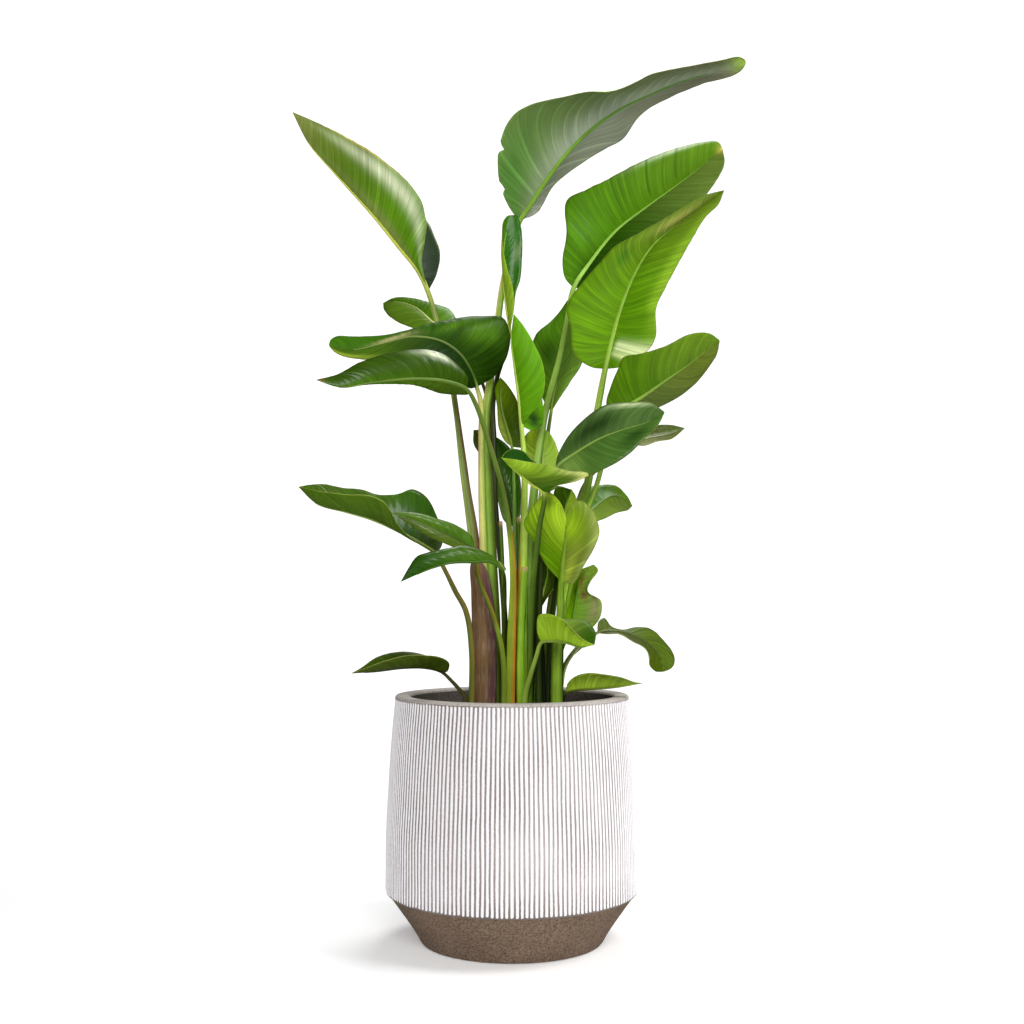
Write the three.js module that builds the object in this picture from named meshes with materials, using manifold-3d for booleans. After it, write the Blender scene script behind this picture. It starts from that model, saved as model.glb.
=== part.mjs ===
// A potted bird of paradise: a broad-leaved house plant, about 1.4 m tall, in a ribbed clay planter.
// Millimetres, +Z up. The origin is the centre of the planter's foot, on the surface it stands on.
// Seen from the front, +X is to the right and +Y is away from the viewer.
import * as THREE from 'three';
import { mergeVertices } from 'three/addons/utils/BufferGeometryUtils.js';
import Module from 'manifold-3d';

const wasm = await Module();
wasm.setup();

// ---- driving dimensions -------------------------------------------------------------------
const POT_HEIGHT = 404;
const RIM_RADIUS = 195;
const BELLY_RADIUS = 210;
const WALL = 24;
const SHOULDER_HEIGHT = 84;      // where the bare clay foot ends and the ribs begin
const FOOT_RADIUS = 146;
const FOOT_LIP = [6, 4];         // the rounded edge under the foot, outward and up
const FOOT_SIDE = [161, 19];     // radius and height where the straight side of the foot begins
const FLOOR_THICKNESS = 38;
const RIB_COUNT = 48;            // fewer than on the real pot, and wider in proportion
const RIB_RELIEF = 1.4;
const RIM_BAND = 4;              // plain band between the ribs and the top of the rim
const SOIL_TOP = 378;
const SOIL_BUMP = 3;
const SOIL_SEGMENTS = 32;
const GAP = 0.35;                // clearance between pieces that touch
const HOLE_GROWTH = 0.6;         // a stalk's hole is this much wider, so its flats clear it by the gap
const ROOT_DEPTH = 42;           // how far a stalk stands in the soil
const BLADE = 1.2;               // thickness of a leaf blade
const SHEATH = 1.6;              // thickness of the dead leaf sheath
const STALK_SIDES = 5;           // a thick stalk has one side more
const STEPS_PER_POINT = 0.75;
const THICK_STALK = 7;           // radius at the root above which a stalk counts as thick
const BLADE_START = 0.03;        // share of the midrib left bare at the stalk
const BLADE_END = 0.985;         // share of the midrib where the blunt tip is
const MIDRIB_END_RADIUS = 1;
const MIDRIB_REACH = 0.82;       // share of the blade that the raised midrib runs along

// ---- finishes -----------------------------------------------------------------------------
const finish = (color, roughness) => new THREE.MeshStandardMaterial({ color, roughness, metalness: 0 });
const FINISH = {
  clay: finish('#d9d3cb', 0.9),
  soil: finish('#2e241c', 1),
  dry: finish('#6f5240', 0.8),
  light: finish('#7f9f4c', 0.45),
  mid: finish('#4f7f22', 0.4),
  bright: finish('#5f9a12', 0.38),
  lime: finish('#86ab2c', 0.42),
  grey: finish('#6b8457', 0.6),
  olive: finish('#6a7a2a', 0.45),
  dark: finish('#2f5316', 0.35),
};

// ---- leaf table ---------------------------------------------------------------------------
// Each leaf: its stalk from the root up (x, y, z and radius), its midrib from the stalk to the tip,
// and points on its two edges in the same direction. The neck is the stalk's radius at the blade.
const LEAVES = [
  {
    name: 'leaf_high_left', tint: 'light', stations: 9, crown: 7, wave: 0, neck: 4.2,
    stalk: [[-60, -8, 336, 10.5], [-53, -7, 495, 10], [-64, -4, 655, 9.2], [-80, 1, 766, 7],
      [-96, 12, 887, 5], [-111, 22, 976, 4.8], [-130, 26, 1043, 4.6]],
    rib: [[-146, 28, 1096], [-164, 31, 1134], [-198, 34, 1177], [-241, 37, 1231], [-317, 39, 1316],
      [-358, 40, 1364], [-387, 40, 1420]],
    left: [[-156, 14, 1145], [-150, -3, 1177], [-147, -10, 1207], [-158, -16, 1247], [-187, -18, 1285],
      [-242, -9, 1332], [-290, 5, 1364], [-338, 22, 1393]],
    right: [[-132, 66, 1139], [-128, 97, 1183], [-142, 120, 1224], [-156, 134, 1252],
      [-210, 146, 1312], [-287, 125, 1369], [-345, 71, 1400]],
  },
  {
    name: 'leaf_back_left', tint: 'mid', stations: 8, crown: 6, wave: 0, neck: 2.4,
    stalk: [[-42, 34, 336, 5], [-40, 37, 494, 4.3], [-39, 45, 700, 3.8], [-39, 56, 858, 3.4],
      [-48, 72, 931, 3], [-81, 93, 999, 2.7]],
    rib: [[-118, 112, 1043], [-145, 136, 1066], [-178, 173, 1100], [-213, 209, 1119],
      [-245, 240, 1124]],
    left: [[-101, 147, 1066], [-116, 175, 1097], [-153, 204, 1116], [-196, 228, 1131],
      [-225, 236, 1133]],
    right: [[-156, 121, 1046], [-196, 146, 1063], [-223, 174, 1081], [-239, 207, 1103]],
  },
  {
    name: 'leaf_arched_left', tint: 'dark', stations: 10, crown: 7, wave: 0, neck: 3.4,
    stalk: [[-46, -24, 336, 8], [-46, -26, 496, 7], [-48, -27, 629, 6.2], [-51, -28, 730, 5.4],
      [-52, -32, 830, 4.8], [-52, -42, 890, 4.2]],
    rib: [[-59, -50, 917], [-69, -63, 942], [-87, -77, 968], [-117, -92, 986], [-162, -108, 990],
      [-205, -121, 978], [-252, -129, 965], [-294, -136, 970]],
    left: [[-28, -27, 941], [-8, -20, 977], [-3, -19, 1011], [-14, -23, 1039], [-45, -32, 1041],
      [-103, -56, 1029], [-151, -78, 1009], [-199, -97, 995], [-243, -111, 989], [-282, -124, 988],
      [-292, -129, 981]],
    right: [[-71, -83, 910], [-87, -102, 919], [-116, -117, 931], [-163, -131, 938], [-210, -142, 943],
      [-242, -146, 945], [-268, -144, 951], [-285, -140, 960]],
  },
  {
    name: 'leaf_front_left', tint: 'dark', stations: 8, crown: 7, wave: 0, neck: 3.2,
    stalk: [[-4, -53, 336, 8], [-1, -57, 497, 7.2], [2, -69, 604, 5.4], [-4, -81, 677, 4.6],
      [-15, -92, 741, 4.3], [-39, -106, 822, 4.1], [-58, -118, 877, 3.8]],
    rib: [[-73, -128, 901], [-106, -153, 910], [-156, -182, 909], [-219, -210, 898], [-263, -224, 889],
      [-299, -232, 899]],
    left: [[-71, -131, 920], [-89, -142, 940], [-107, -152, 952], [-132, -163, 958], [-163, -174, 956],
      [-198, -187, 947], [-235, -202, 932], [-267, -215, 911]],
    right: [[-71, -106, 897], [-92, -103, 897], [-116, -106, 898], [-140, -112, 906],
      [-160, -126, 913], [-201, -155, 916], [-244, -187, 908], [-272, -211, 901]],
  },
  {
    name: 'leaf_top_right', tint: 'grey', stations: 12, crown: 8, wave: 1.5, neck: 4.4,
    stalk: [[-33, 4, 336, 15], [-32, 4, 495, 14], [-37, 4, 630, 12.2], [-42, 6, 732, 11.4],
      [-46, 8, 835, 9.2], [-44, 10, 887, 7.4], [-39, 12, 925, 6.6], [-25, 18, 1036, 5.8],
      [-15, 20, 1110, 5.4], [-1, 16, 1167, 4.8]],
    rib: [[13, 12, 1215], [32, 2, 1242], [57, -13, 1277], [91, -31, 1318], [133, -50, 1355],
      [182, -72, 1383], [230, -92, 1400], [277, -112, 1413], [331, -136, 1421], [378, -156, 1430]],
    left: [[-7, -12, 1237], [-20, -39, 1265], [-24, -69, 1296], [-15, -98, 1332], [2, -119, 1354],
      [32, -134, 1367], [77, -144, 1374], [126, -155, 1380], [155, -159, 1377], [184, -162, 1385],
      [221, -165, 1404], [285, -168, 1417], [337, -166, 1427], [364, -162, 1434]],
    right: [[43, 27, 1235], [54, 42, 1252], [71, 47, 1284], [103, 43, 1313], [137, 32, 1334],
      [165, 22, 1349], [190, 10, 1359], [220, -22, 1391], [260, -49, 1407], [320, -99, 1416],
      [358, -136, 1413], [373, -146, 1420]],
  },
  {
    name: 'leaf_upper_right', tint: 'bright', stations: 10, crown: -7, wave: 0, neck: 4.4,
    stalk: [[22, 10, 336, 9], [25, 9, 495, 8.6], [28, 8, 630, 8.2], [33, 7, 698, 7.6],
      [42, 9, 784, 6.8], [56, 22, 878, 6], [67, 43, 923, 5.8], [86, 75, 996, 5.4], [99, 95, 1061, 5]],
    rib: [[111, 110, 1122], [143, 131, 1175], [190, 153, 1237], [248, 170, 1287], [314, 181, 1338],
      [362, 184, 1377], [394, 184, 1405]],
    left: [[96, 105, 1139], [91, 104, 1168], [98, 110, 1219], [100, 127, 1288], [135, 141, 1312],
      [172, 148, 1332], [238, 157, 1370], [298, 161, 1395], [351, 170, 1411], [384, 177, 1415]],
    right: [[145, 107, 1125], [187, 116, 1164], [243, 128, 1210], [299, 138, 1251], [347, 150, 1296],
      [374, 157, 1328], [395, 169, 1370]],
  },
  {
    name: 'leaf_right_bright', tint: 'bright', stations: 10, crown: -7, wave: 0, neck: 4.8,
    stalk: [[58, 28, 336, 9], [62, 28, 494, 8.5], [76, 28, 596, 8], [104, 26, 699, 7.5],
      [128, 24, 751, 7], [141, 14, 853, 6.3], [151, 2, 912, 5.6]],
    rib: [[159, -6, 955], [170, 3, 1003], [187, 18, 1062], [216, 37, 1133], [247, 52, 1183],
      [284, 65, 1219], [331, 79, 1256], [382, 94, 1297]],
    left: [[131, -23, 956], [104, -29, 977], [99, -27, 1018], [94, -18, 1063], [117, -1, 1101],
      [153, 17, 1146], [177, 28, 1175], [225, 40, 1205], [276, 56, 1238], [338, 77, 1280]],
    right: [[187, -22, 956], [227, -25, 979], [243, -24, 1005], [246, -11, 1056], [267, 5, 1104],
      [304, 26, 1172], [339, 51, 1232], [367, 73, 1264]],
  },
  {
    name: 'leaf_right_middle', tint: 'mid', stations: 8, crown: -6, wave: 0, neck: 3.6,
    stalk: [[70, 2, 336, 7], [75, 5, 495, 6], [93, 9, 596, 5], [123, 7, 701, 4.6], [142, 0, 752, 4.2],
      [155, -11, 802, 4]],
    rib: [[169, -24, 872], [192, -36, 887], [223, -50, 905], [259, -67, 929], [294, -81, 952],
      [319, -91, 972], [340, -96, 987]],
    left: [[158, -38, 890], [164, -57, 918], [174, -73, 943], [183, -85, 961], [212, -98, 965],
      [248, -109, 975], [286, -116, 992], [319, -111, 996]],
    right: [[188, -10, 874], [231, -13, 882], [274, -26, 900], [299, -42, 917], [320, -60, 939],
      [337, -79, 966]],
  },
  {
    name: 'leaf_right_dark', tint: 'dark', stations: 8, crown: -5, wave: 0, neck: 3,
    stalk: [[44, -34, 336, 6], [44, -42, 496, 5], [47, -56, 595, 4.4], [52, -72, 677, 3.9],
      [59, -93, 738, 3.4]],
    rib: [[70, -112, 774], [102, -124, 798], [141, -137, 820], [180, -148, 834], [212, -154, 843],
      [242, -156, 860]],
    left: [[74, -96, 797], [84, -91, 818], [100, -92, 841], [125, -97, 864], [153, -105, 879],
      [191, -118, 882], [222, -134, 878]],
    right: [[90, -140, 762], [113, -155, 757], [142, -169, 767], [176, -177, 785], [209, -179, 816],
      [230, -170, 838]],
  },
  {
    name: 'leaf_cupped_centre', tint: 'lime', stations: 9, crown: 6, wave: 0, neck: 3.6,
    stalk: [[28, -66, 336, 5.2], [32, -89, 530, 5], [38, -118, 627, 4.7], [44, -141, 682, 4.4]],
    rib: [[50, -158, 733], [31, -173, 744], [9, -196, 760], [-7, -212, 772], [-16, -218, 781]],
    left: [[65, -171, 735], [77, -180, 745], [99, -189, 746], [117, -194, 754], [121, -198, 757],
      [110, -203, 760], [88, -209, 760], [61, -218, 767], [34, -224, 772], [4, -226, 778]],
    right: [[64, -141, 750], [58, -134, 764], [45, -140, 776], [29, -154, 786], [18, -167, 797],
      [2, -183, 799], [-10, -201, 791]],
  },
  {
    name: 'leaf_centre_heart', tint: 'lime', stations: 8, crown: 5, wave: 0, neck: 4.6,
    stalk: [[74, -54, 336, 10], [75, -61, 481, 8.4], [79, -74, 546, 6.4]],
    rib: [[80, -88, 592], [82, -98, 624], [86, -108, 663], [87, -110, 697]],
    left: [[54, -85, 621], [37, -90, 654], [19, -98, 686], [28, -110, 704], [41, -121, 723],
      [58, -121, 736], [73, -119, 725], [82, -115, 711]],
    right: [[100, -78, 589], [116, -78, 616], [135, -83, 649], [143, -90, 675], [130, -103, 708],
      [110, -111, 723], [96, -114, 714]],
  },
  {
    name: 'leaf_behind_heart', tint: 'mid', stations: 6, crown: 4, wave: 0, neck: 2.6,
    stalk: [[78, 40, 336, 5], [85, 40, 494, 4.1], [101, 43, 614, 3.5], [119, 47, 679, 3]],
    rib: [[133, 52, 711], [152, 73, 730], [177, 98, 746], [198, 121, 744], [218, 146, 731]],
    left: [[122, 82, 734], [129, 102, 759], [159, 125, 768], [189, 139, 767], [209, 147, 748]],
    right: [[139, 42, 698], [156, 54, 702], [184, 85, 715], [207, 122, 722]],
  },
  {
    name: 'leaf_right_small', tint: 'olive', stations: 6, crown: 3, wave: 0, neck: 2.2,
    stalk: [[66, 58, 336, 4.5], [77, 58, 493, 3.8], [95, 55, 614, 3.4], [121, 52, 753, 3.1],
      [150, 50, 791, 2.8], [180, 46, 819, 2.5]],
    rib: [[206, 46, 834], [243, 67, 846], [278, 90, 855], [310, 114, 869]],
    left: [[223, 74, 855], [255, 98, 871], [284, 110, 874]],
    right: [[227, 44, 829], [255, 62, 839], [282, 84, 846]],
  },
  {
    name: 'leaf_rolled_top', tint: 'mid', stations: 8, crown: 4, wave: 0, neck: 2.6,
    stalk: [[-12, 42, 336, 6], [-11, 44, 493, 5.2], [-20, 45, 631, 4.8], [-29, 46, 735, 4.6],
      [-31, 47, 840, 4.4], [-33, 44, 901, 4.2], [-25, 28, 949, 4], [-11, 8, 989, 3.6]],
    rib: [[-4, 2, 1020], [-9, 2, 1059], [-14, 2, 1102], [-15, 2, 1154], [-9, 0, 1197], [-1, -2, 1223]],
    left: [[0, -10, 1039], [4, -14, 1067], [1, -18, 1097], [-8, -18, 1126], [-15, -12, 1159],
      [-17, -8, 1186], [-15, -5, 1210], [-8, -3, 1221]],
    right: [[3, 0, 1058], [7, 2, 1090], [14, 2, 1111], [17, 2, 1142], [18, 0, 1175], [15, -2, 1205],
      [9, -3, 1221]],
  },
  {
    name: 'leaf_folded_centre', tint: 'bright', stations: 8, crown: 7, wave: 0, neck: 3.8,
    stalk: [[16, -20, 336, 11], [16, -21, 529, 10], [18, -22, 604, 8.5], [19, -24, 649, 6.4],
      [21, -27, 780, 5.2]],
    rib: [[16, -32, 854], [11, -47, 904], [4, -60, 952], [-1, -67, 993], [3, -70, 1036]],
    left: [[31, -54, 871], [46, -63, 887], [54, -68, 913], [52, -70, 949], [37, -71, 985],
      [19, -72, 1016]],
    right: [[36, -31, 846], [51, -21, 857], [53, -16, 883], [50, -15, 914], [45, -21, 951],
      [31, -37, 989], [14, -54, 1016]],
  },
  {
    name: 'leaf_back_dark', tint: 'dark', stations: 8, crown: -6, wave: 0, neck: 3,
    stalk: [[44, 54, 336, 6], [46, 61, 527, 4.9], [54, 78, 702, 4.2], [63, 104, 846, 3.5]],
    rib: [[71, 132, 901], [82, 162, 964], [90, 189, 1024], [98, 208, 1075], [105, 222, 1126]],
    left: [[57, 139, 923], [43, 166, 974], [36, 194, 1025], [46, 209, 1059], [71, 221, 1082],
      [90, 224, 1104]],
    right: [[84, 129, 922], [106, 140, 958], [129, 159, 997], [127, 183, 1042], [117, 206, 1088]],
  },
  {
    name: 'leaf_olive_narrow', tint: 'olive', stations: 6, crown: 4, wave: 0, neck: 2.5,
    stalk: [[-6, -8, 336, 5], [1, -6, 495, 4.1], [4, -4, 630, 3.5], [4, 2, 749, 3]],
    rib: [[0, 8, 823], [-9, 8, 857], [-19, 12, 896], [-20, 18, 945]],
    left: [[-11, 18, 833], [-22, 25, 858], [-25, 30, 893], [-29, 26, 927]],
    right: [[21, 23, 826], [15, 30, 872], [8, 29, 907], [-9, 23, 934]],
  },
  {
    name: 'leaf_back_light', tint: 'lime', stations: 6, crown: 4, wave: 0, neck: 2.2,
    stalk: [[34, 34, 336, 4.2], [39, 38, 562, 3.3], [44, 40, 700, 2.7]],
    rib: [[51, 44, 770], [53, 58, 802], [52, 73, 834], [45, 88, 871]],
    left: [[32, 62, 787], [23, 79, 817], [23, 91, 852]],
    right: [[71, 57, 786], [83, 69, 807], [77, 80, 838], [63, 86, 860]],
  },
  {
    name: 'leaf_shaded_centre', tint: 'dark', stations: 7, crown: 5, wave: 0, neck: 2.6,
    stalk: [[-10, 58, 336, 5], [1, 58, 562, 3.5]],
    rib: [[3, 60, 689], [-6, 82, 738], [-21, 108, 793], [-42, 129, 835], [-70, 148, 870]],
    left: [[-13, 59, 699], [-25, 75, 737], [-38, 95, 781], [-55, 115, 817], [-69, 132, 842]],
    right: [[15, 77, 711], [17, 98, 756], [8, 120, 809], [-6, 135, 839], [-34, 147, 860],
      [-56, 151, 870]],
  },
  {
    name: 'leaf_low_left', tint: 'dark', stations: 10, crown: 5, wave: 0, neck: 3,
    stalk: [[-69, -40, 336, 5.5], [-66, -47, 479, 5], [-76, -54, 545, 4.6], [-93, -60, 577, 4.2],
      [-108, -69, 608, 3.6]],
    rib: [[-125, -76, 638], [-146, -90, 653], [-176, -105, 670], [-223, -122, 691], [-265, -135, 703],
      [-309, -144, 715], [-338, -150, 742]],
    left: [[-135, -91, 647], [-162, -109, 662], [-182, -130, 682], [-192, -148, 704],
      [-204, -157, 719], [-229, -163, 728], [-257, -167, 729], [-288, -165, 732], [-314, -159, 736]],
    right: [[-116, -56, 652], [-115, -47, 678], [-125, -46, 703], [-142, -54, 733], [-164, -66, 745],
      [-186, -80, 736], [-214, -93, 733], [-242, -104, 741], [-273, -118, 743], [-298, -128, 748],
      [-322, -141, 746]],
  },
  {
    name: 'leaf_low_left_second', tint: 'dark', stations: 7, crown: 4, wave: 0, neck: 2.8,
    stalk: [[-17, -60, 336, 4.8], [-13, -63, 432, 4.6], [-18, -72, 489, 4.4], [-33, -84, 543, 4],
      [-56, -100, 603, 3.4]],
    rib: [[-60, -110, 642], [-82, -123, 656], [-113, -142, 671], [-152, -161, 687], [-187, -174, 699]],
    left: [[-64, -103, 663], [-75, -105, 674], [-96, -117, 686], [-117, -131, 692], [-142, -147, 699],
      [-167, -162, 701]],
    right: [[-73, -129, 638], [-96, -147, 647], [-129, -163, 662], [-162, -171, 682]],
  },
  {
    name: 'leaf_low_left_third', tint: 'dark', stations: 8, crown: 4, wave: 0, neck: 2.8,
    stalk: [[-16, -34, 336, 4], [-14, -43, 480, 3.8], [-13, -61, 530, 3.6], [-12, -94, 576, 3.4]],
    rib: [[-15, -134, 609], [-31, -158, 622], [-61, -182, 622], [-94, -205, 620], [-124, -225, 611],
      [-146, -238, 601], [-167, -248, 591]],
    left: [[-26, -150, 628], [-54, -168, 643], [-77, -181, 647], [-99, -197, 643], [-125, -212, 637],
      [-144, -226, 630], [-156, -237, 612]],
    right: [[-9, -118, 612], [-18, -122, 624], [-50, -141, 633], [-81, -165, 634], [-110, -192, 628],
      [-139, -221, 615]],
  },
  {
    name: 'leaf_rim_left', tint: 'mid', stations: 8, crown: 4, wave: 0, neck: 2.6,
    stalk: [[-80, -46, 336, 4.5], [-75, -48, 398, 3.8], [-86, -52, 415, 3.3], [-101, -56, 432, 2.9]],
    rib: [[-115, -62, 445], [-140, -81, 453], [-175, -106, 454], [-216, -135, 450], [-251, -160, 449]],
    left: [[-105, -73, 447], [-102, -82, 461], [-115, -97, 471], [-138, -113, 475], [-169, -131, 475],
      [-199, -147, 467], [-228, -156, 457]],
    right: [[-118, -51, 462], [-142, -58, 473], [-173, -77, 479], [-199, -100, 477], [-219, -121, 470],
      [-237, -143, 457]],
  },
  {
    name: 'leaf_curled_low', tint: 'lime', stations: 7, crown: 4, wave: 0, neck: 3,
    stalk: [[18, -80, 336, 5.5], [22, -86, 410, 4.6], [30, -95, 441, 4], [39, -107, 472, 3.5]],
    rib: [[47, -118, 495], [64, -134, 498], [85, -153, 496], [107, -169, 490], [128, -178, 494]],
    left: [[40, -133, 512], [43, -151, 540], [63, -165, 541], [80, -173, 534], [94, -178, 518],
      [111, -181, 502]],
    right: [[54, -111, 512], [70, -112, 531], [93, -120, 534], [118, -134, 530], [131, -158, 512]],
  },
  {
    name: 'leaf_low_right', tint: 'mid', stations: 9, crown: 3, wave: 0, neck: 2.4,
    stalk: [[82, -28, 336, 4.4], [82, -28, 423, 4.2], [89, -29, 455, 4], [106, -30, 480, 3.6],
      [127, -30, 499, 3.2]],
    rib: [[142, -30, 508], [168, -20, 511], [199, -5, 505], [228, 11, 491], [250, 28, 468],
      [260, 42, 439]],
    left: [[145, -16, 526], [156, -3, 532], [168, 7, 518], [188, 18, 512], [213, 33, 516],
      [239, 45, 512], [262, 58, 493], [280, 62, 467], [280, 54, 453], [273, 48, 444]],
    right: [[157, -36, 506], [180, -35, 506], [200, -30, 494], [223, -18, 482], [231, -7, 468],
      [232, 7, 453], [244, 25, 441]],
  },
  {
    name: 'leaf_rim_right', tint: 'lime', stations: 7, crown: 4, wave: 0, neck: 2.4,
    stalk: [[92, -8, 336, 4], [85, -8, 395, 3]],
    rib: [[90, -8, 407], [106, -15, 412], [134, -28, 415], [171, -46, 419], [213, -66, 427]],
    left: [[93, -20, 424], [106, -34, 437], [129, -50, 443], [155, -61, 441], [180, -68, 436],
      [200, -68, 429]],
    right: [[99, 14, 414], [120, 20, 423], [150, 10, 427], [184, -25, 426]],
  },
  {
    name: 'leaf_spotted', tint: 'lime', stations: 7, crown: 4, wave: 0, neck: 2.8,
    stalk: [[81, 17, 336, 4.5], [82, 13, 469, 3.5]],
    rib: [[99, 6, 512], [106, 8, 545], [111, 12, 579], [119, 18, 603], [140, 26, 623]],
    left: [[91, 14, 532], [90, 21, 562], [95, 27, 588], [107, 31, 608]],
    right: [[132, -3, 514], [149, -4, 534], [150, 0, 561], [128, 6, 576], [133, 11, 593],
      [147, 19, 613]],
  },
  {
    name: 'leaf_back_olive', tint: 'olive', stations: 6, crown: 4, wave: 0, neck: 2.2,
    stalk: [[54, 6, 336, 4], [52, 7, 478, 2.9]],
    rib: [[45, 6, 542], [53, 10, 576], [60, 14, 606], [57, 16, 647]],
    left: [[37, 14, 554], [38, 20, 588], [45, 22, 622]],
    right: [[57, 2, 562], [75, 4, 593], [72, 10, 625]],
  },
  {
    name: 'leaf_tucked_small', tint: 'olive', stations: 5, crown: 3, wave: 0, neck: 2.4,
    stalk: [[60, -14, 336, 4], [63, -14, 495, 3.6], [76, -20, 604, 3.2]],
    rib: [[89, -30, 679], [89, -32, 713], [100, -32, 747]],
    left: [[75, -26, 695], [69, -24, 723], [75, -28, 752]],
    right: [[105, -26, 695], [109, -24, 718], [107, -28, 736]],
  },
];

// ---- solids -------------------------------------------------------------------------------
const toPoint = ([x, y, z]) => new THREE.Vector3(x, y, z);
const curveThrough = (points) => new THREE.CatmullRomCurve3(points.map(toPoint), false, 'centripetal');

function toSolid(geometry) {
  geometry.deleteAttribute('normal');
  geometry.deleteAttribute('uv');
  const merged = mergeVertices(geometry, 1e-4);
  const vertProperties = new Float32Array(merged.attributes.position.array);
  const triVerts = new Uint32Array(merged.index.array);
  return new wasm.Manifold(new wasm.Mesh({ numProp: 3, vertProperties, triVerts }));
}

function toMesh(name, solid, material) {
  const { vertProperties, triVerts } = solid.getMesh();
  const geometry = new THREE.BufferGeometry();
  geometry.setAttribute('position', new THREE.BufferAttribute(vertProperties, 3));
  geometry.setIndex(new THREE.BufferAttribute(triVerts, 1));
  const mesh = new THREE.Mesh(geometry, material);
  mesh.name = name;
  return mesh;
}

// A round bar along a curve, with a radius for every share of its length.
function bar(curve, radiusAt, sides, steps, reach = 1) {
  const geometry = new THREE.CylinderGeometry(1, 1, 1, sides, steps);
  const position = geometry.attributes.position;
  const side = new THREE.Vector3();
  const front = new THREE.Vector3();
  for (let i = 0; i < position.count; i += 1) {
    const share = (0.5 - position.getY(i)) * reach;
    const across = position.getX(i);
    const along = position.getZ(i);
    const centre = curve.getPointAt(share);
    const tangent = curve.getTangentAt(share);
    side.set(0, 1, 0).cross(tangent).normalize();
    front.crossVectors(tangent, side);
    const radius = radiusAt(share / reach);
    centre.addScaledVector(side, across * radius).addScaledVector(front, along * radius);
    position.setXYZ(i, centre.x, centre.y, centre.z);
  }
  return toSolid(geometry);
}

// The blade as a surface: v runs from stalk to tip, u from the left edge over the midrib to the right.
function bladePoint(leaf, u, v) {
  const share = THREE.MathUtils.lerp(leaf.start, BLADE_END, v);
  const rib = leaf.ribCurve.getPointAt(share);
  const onLeft = u < 0.5;
  const across = Math.abs(u - 0.5) * 2;
  const edge = (onLeft ? leaf.leftCurve : leaf.rightCurve).getPointAt(share);
  const span = edge.sub(rib);
  const tangent = leaf.ribCurve.getTangentAt(share);
  const normal = new THREE.Vector3().crossVectors(span, tangent).normalize();
  if (!onLeft) normal.negate();
  const crown = leaf.crown * 4 * across * (1 - across) * Math.sin(Math.PI * share);
  const ripple = leaf.wave * across * across * Math.sin(share * leaf.ripples * 2 * Math.PI);
  return rib.addScaledVector(span, across).addScaledVector(normal, crown + ripple);
}

// A closed shell of even thickness, with the same triangles on both of its faces.
function bladeSolid(leaf, thickness) {
  const across = leaf.halfSteps * 2;
  const sheet = new THREE.PlaneGeometry(1, 1, across, leaf.stations);
  const position = sheet.attributes.position;
  const uv = sheet.attributes.uv;
  for (let i = 0; i < position.count; i += 1) {
    const point = bladePoint(leaf, uv.getX(i), uv.getY(i));
    position.setXYZ(i, point.x, point.y, point.z);
  }
  sheet.computeVertexNormals();
  const normal = sheet.attributes.normal;
  const count = position.count;
  const vertices = new Float32Array(count * 6);
  for (let i = 0; i < count; i += 1) {
    for (const [layer, side] of [[0, 0.5], [count, -0.5]]) {
      vertices[(layer + i) * 3] = position.getX(i) + normal.getX(i) * thickness * side;
      vertices[(layer + i) * 3 + 1] = position.getY(i) + normal.getY(i) * thickness * side;
      vertices[(layer + i) * 3 + 2] = position.getZ(i) + normal.getZ(i) * thickness * side;
    }
  }
  const faces = [];
  const index = sheet.index.array;
  for (let i = 0; i < index.length; i += 3) {
    const [a, b, c] = [index[i], index[i + 1], index[i + 2]];
    faces.push(a, b, c, a + count, c + count, b + count);
  }
  const row = across + 1;
  const rim = [];
  for (let i = 0; i < leaf.stations; i += 1) rim.push(i * row);
  for (let i = 0; i < across; i += 1) rim.push(leaf.stations * row + i);
  for (let i = leaf.stations; i > 0; i -= 1) rim.push(i * row + across);
  for (let i = across; i > 0; i -= 1) rim.push(i);
  rim.forEach((a, i) => {
    const b = rim[(i + 1) % rim.length];
    faces.push(a, a + count, b, b, a + count, b + count);
  });
  const shell = new THREE.BufferGeometry();
  shell.setAttribute('position', new THREE.BufferAttribute(vertices, 3));
  shell.setIndex(faces);
  return toSolid(shell);
}

// ---- leaves -------------------------------------------------------------------------------
function completeLeaf(leaf) {
  const base = leaf.rib[0];
  const tip = leaf.rib[leaf.rib.length - 1];
  return {
    ...leaf,
    start: BLADE_START,
    halfSteps: 2,
    ripples: 3,
    stalkCurve: curveThrough([...leaf.stalk, base]),
    ribCurve: curveThrough(leaf.rib),
    leftCurve: curveThrough([base, ...leaf.left, tip]),
    rightCurve: curveThrough([base, ...leaf.right, tip]),
  };
}

// The radius at a share of the bar's length, from the radii at the stalk's points.
function radiusAlong(leaf) {
  const points = [...leaf.stalk, [...leaf.rib[0], leaf.neck]];
  const marks = [0];
  for (let i = 1; i < points.length; i += 1) {
    marks.push(marks[i - 1] + toPoint(points[i]).distanceTo(toPoint(points[i - 1])));
  }
  const stalkLength = marks[marks.length - 1];
  const whole = stalkLength + leaf.ribCurve.getLength() * MIDRIB_REACH;
  return (share) => {
    const at = share * whole;
    const next = marks.findIndex((mark) => mark > at);
    const alongRib = (at - stalkLength) / (whole - stalkLength);
    if (next < 0) return THREE.MathUtils.lerp(leaf.neck, MIDRIB_END_RADIUS, alongRib);
    const step = (at - marks[next - 1]) / (marks[next] - marks[next - 1]);
    return THREE.MathUtils.lerp(points[next - 1][3], points[next][3], step);
  };
}

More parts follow.
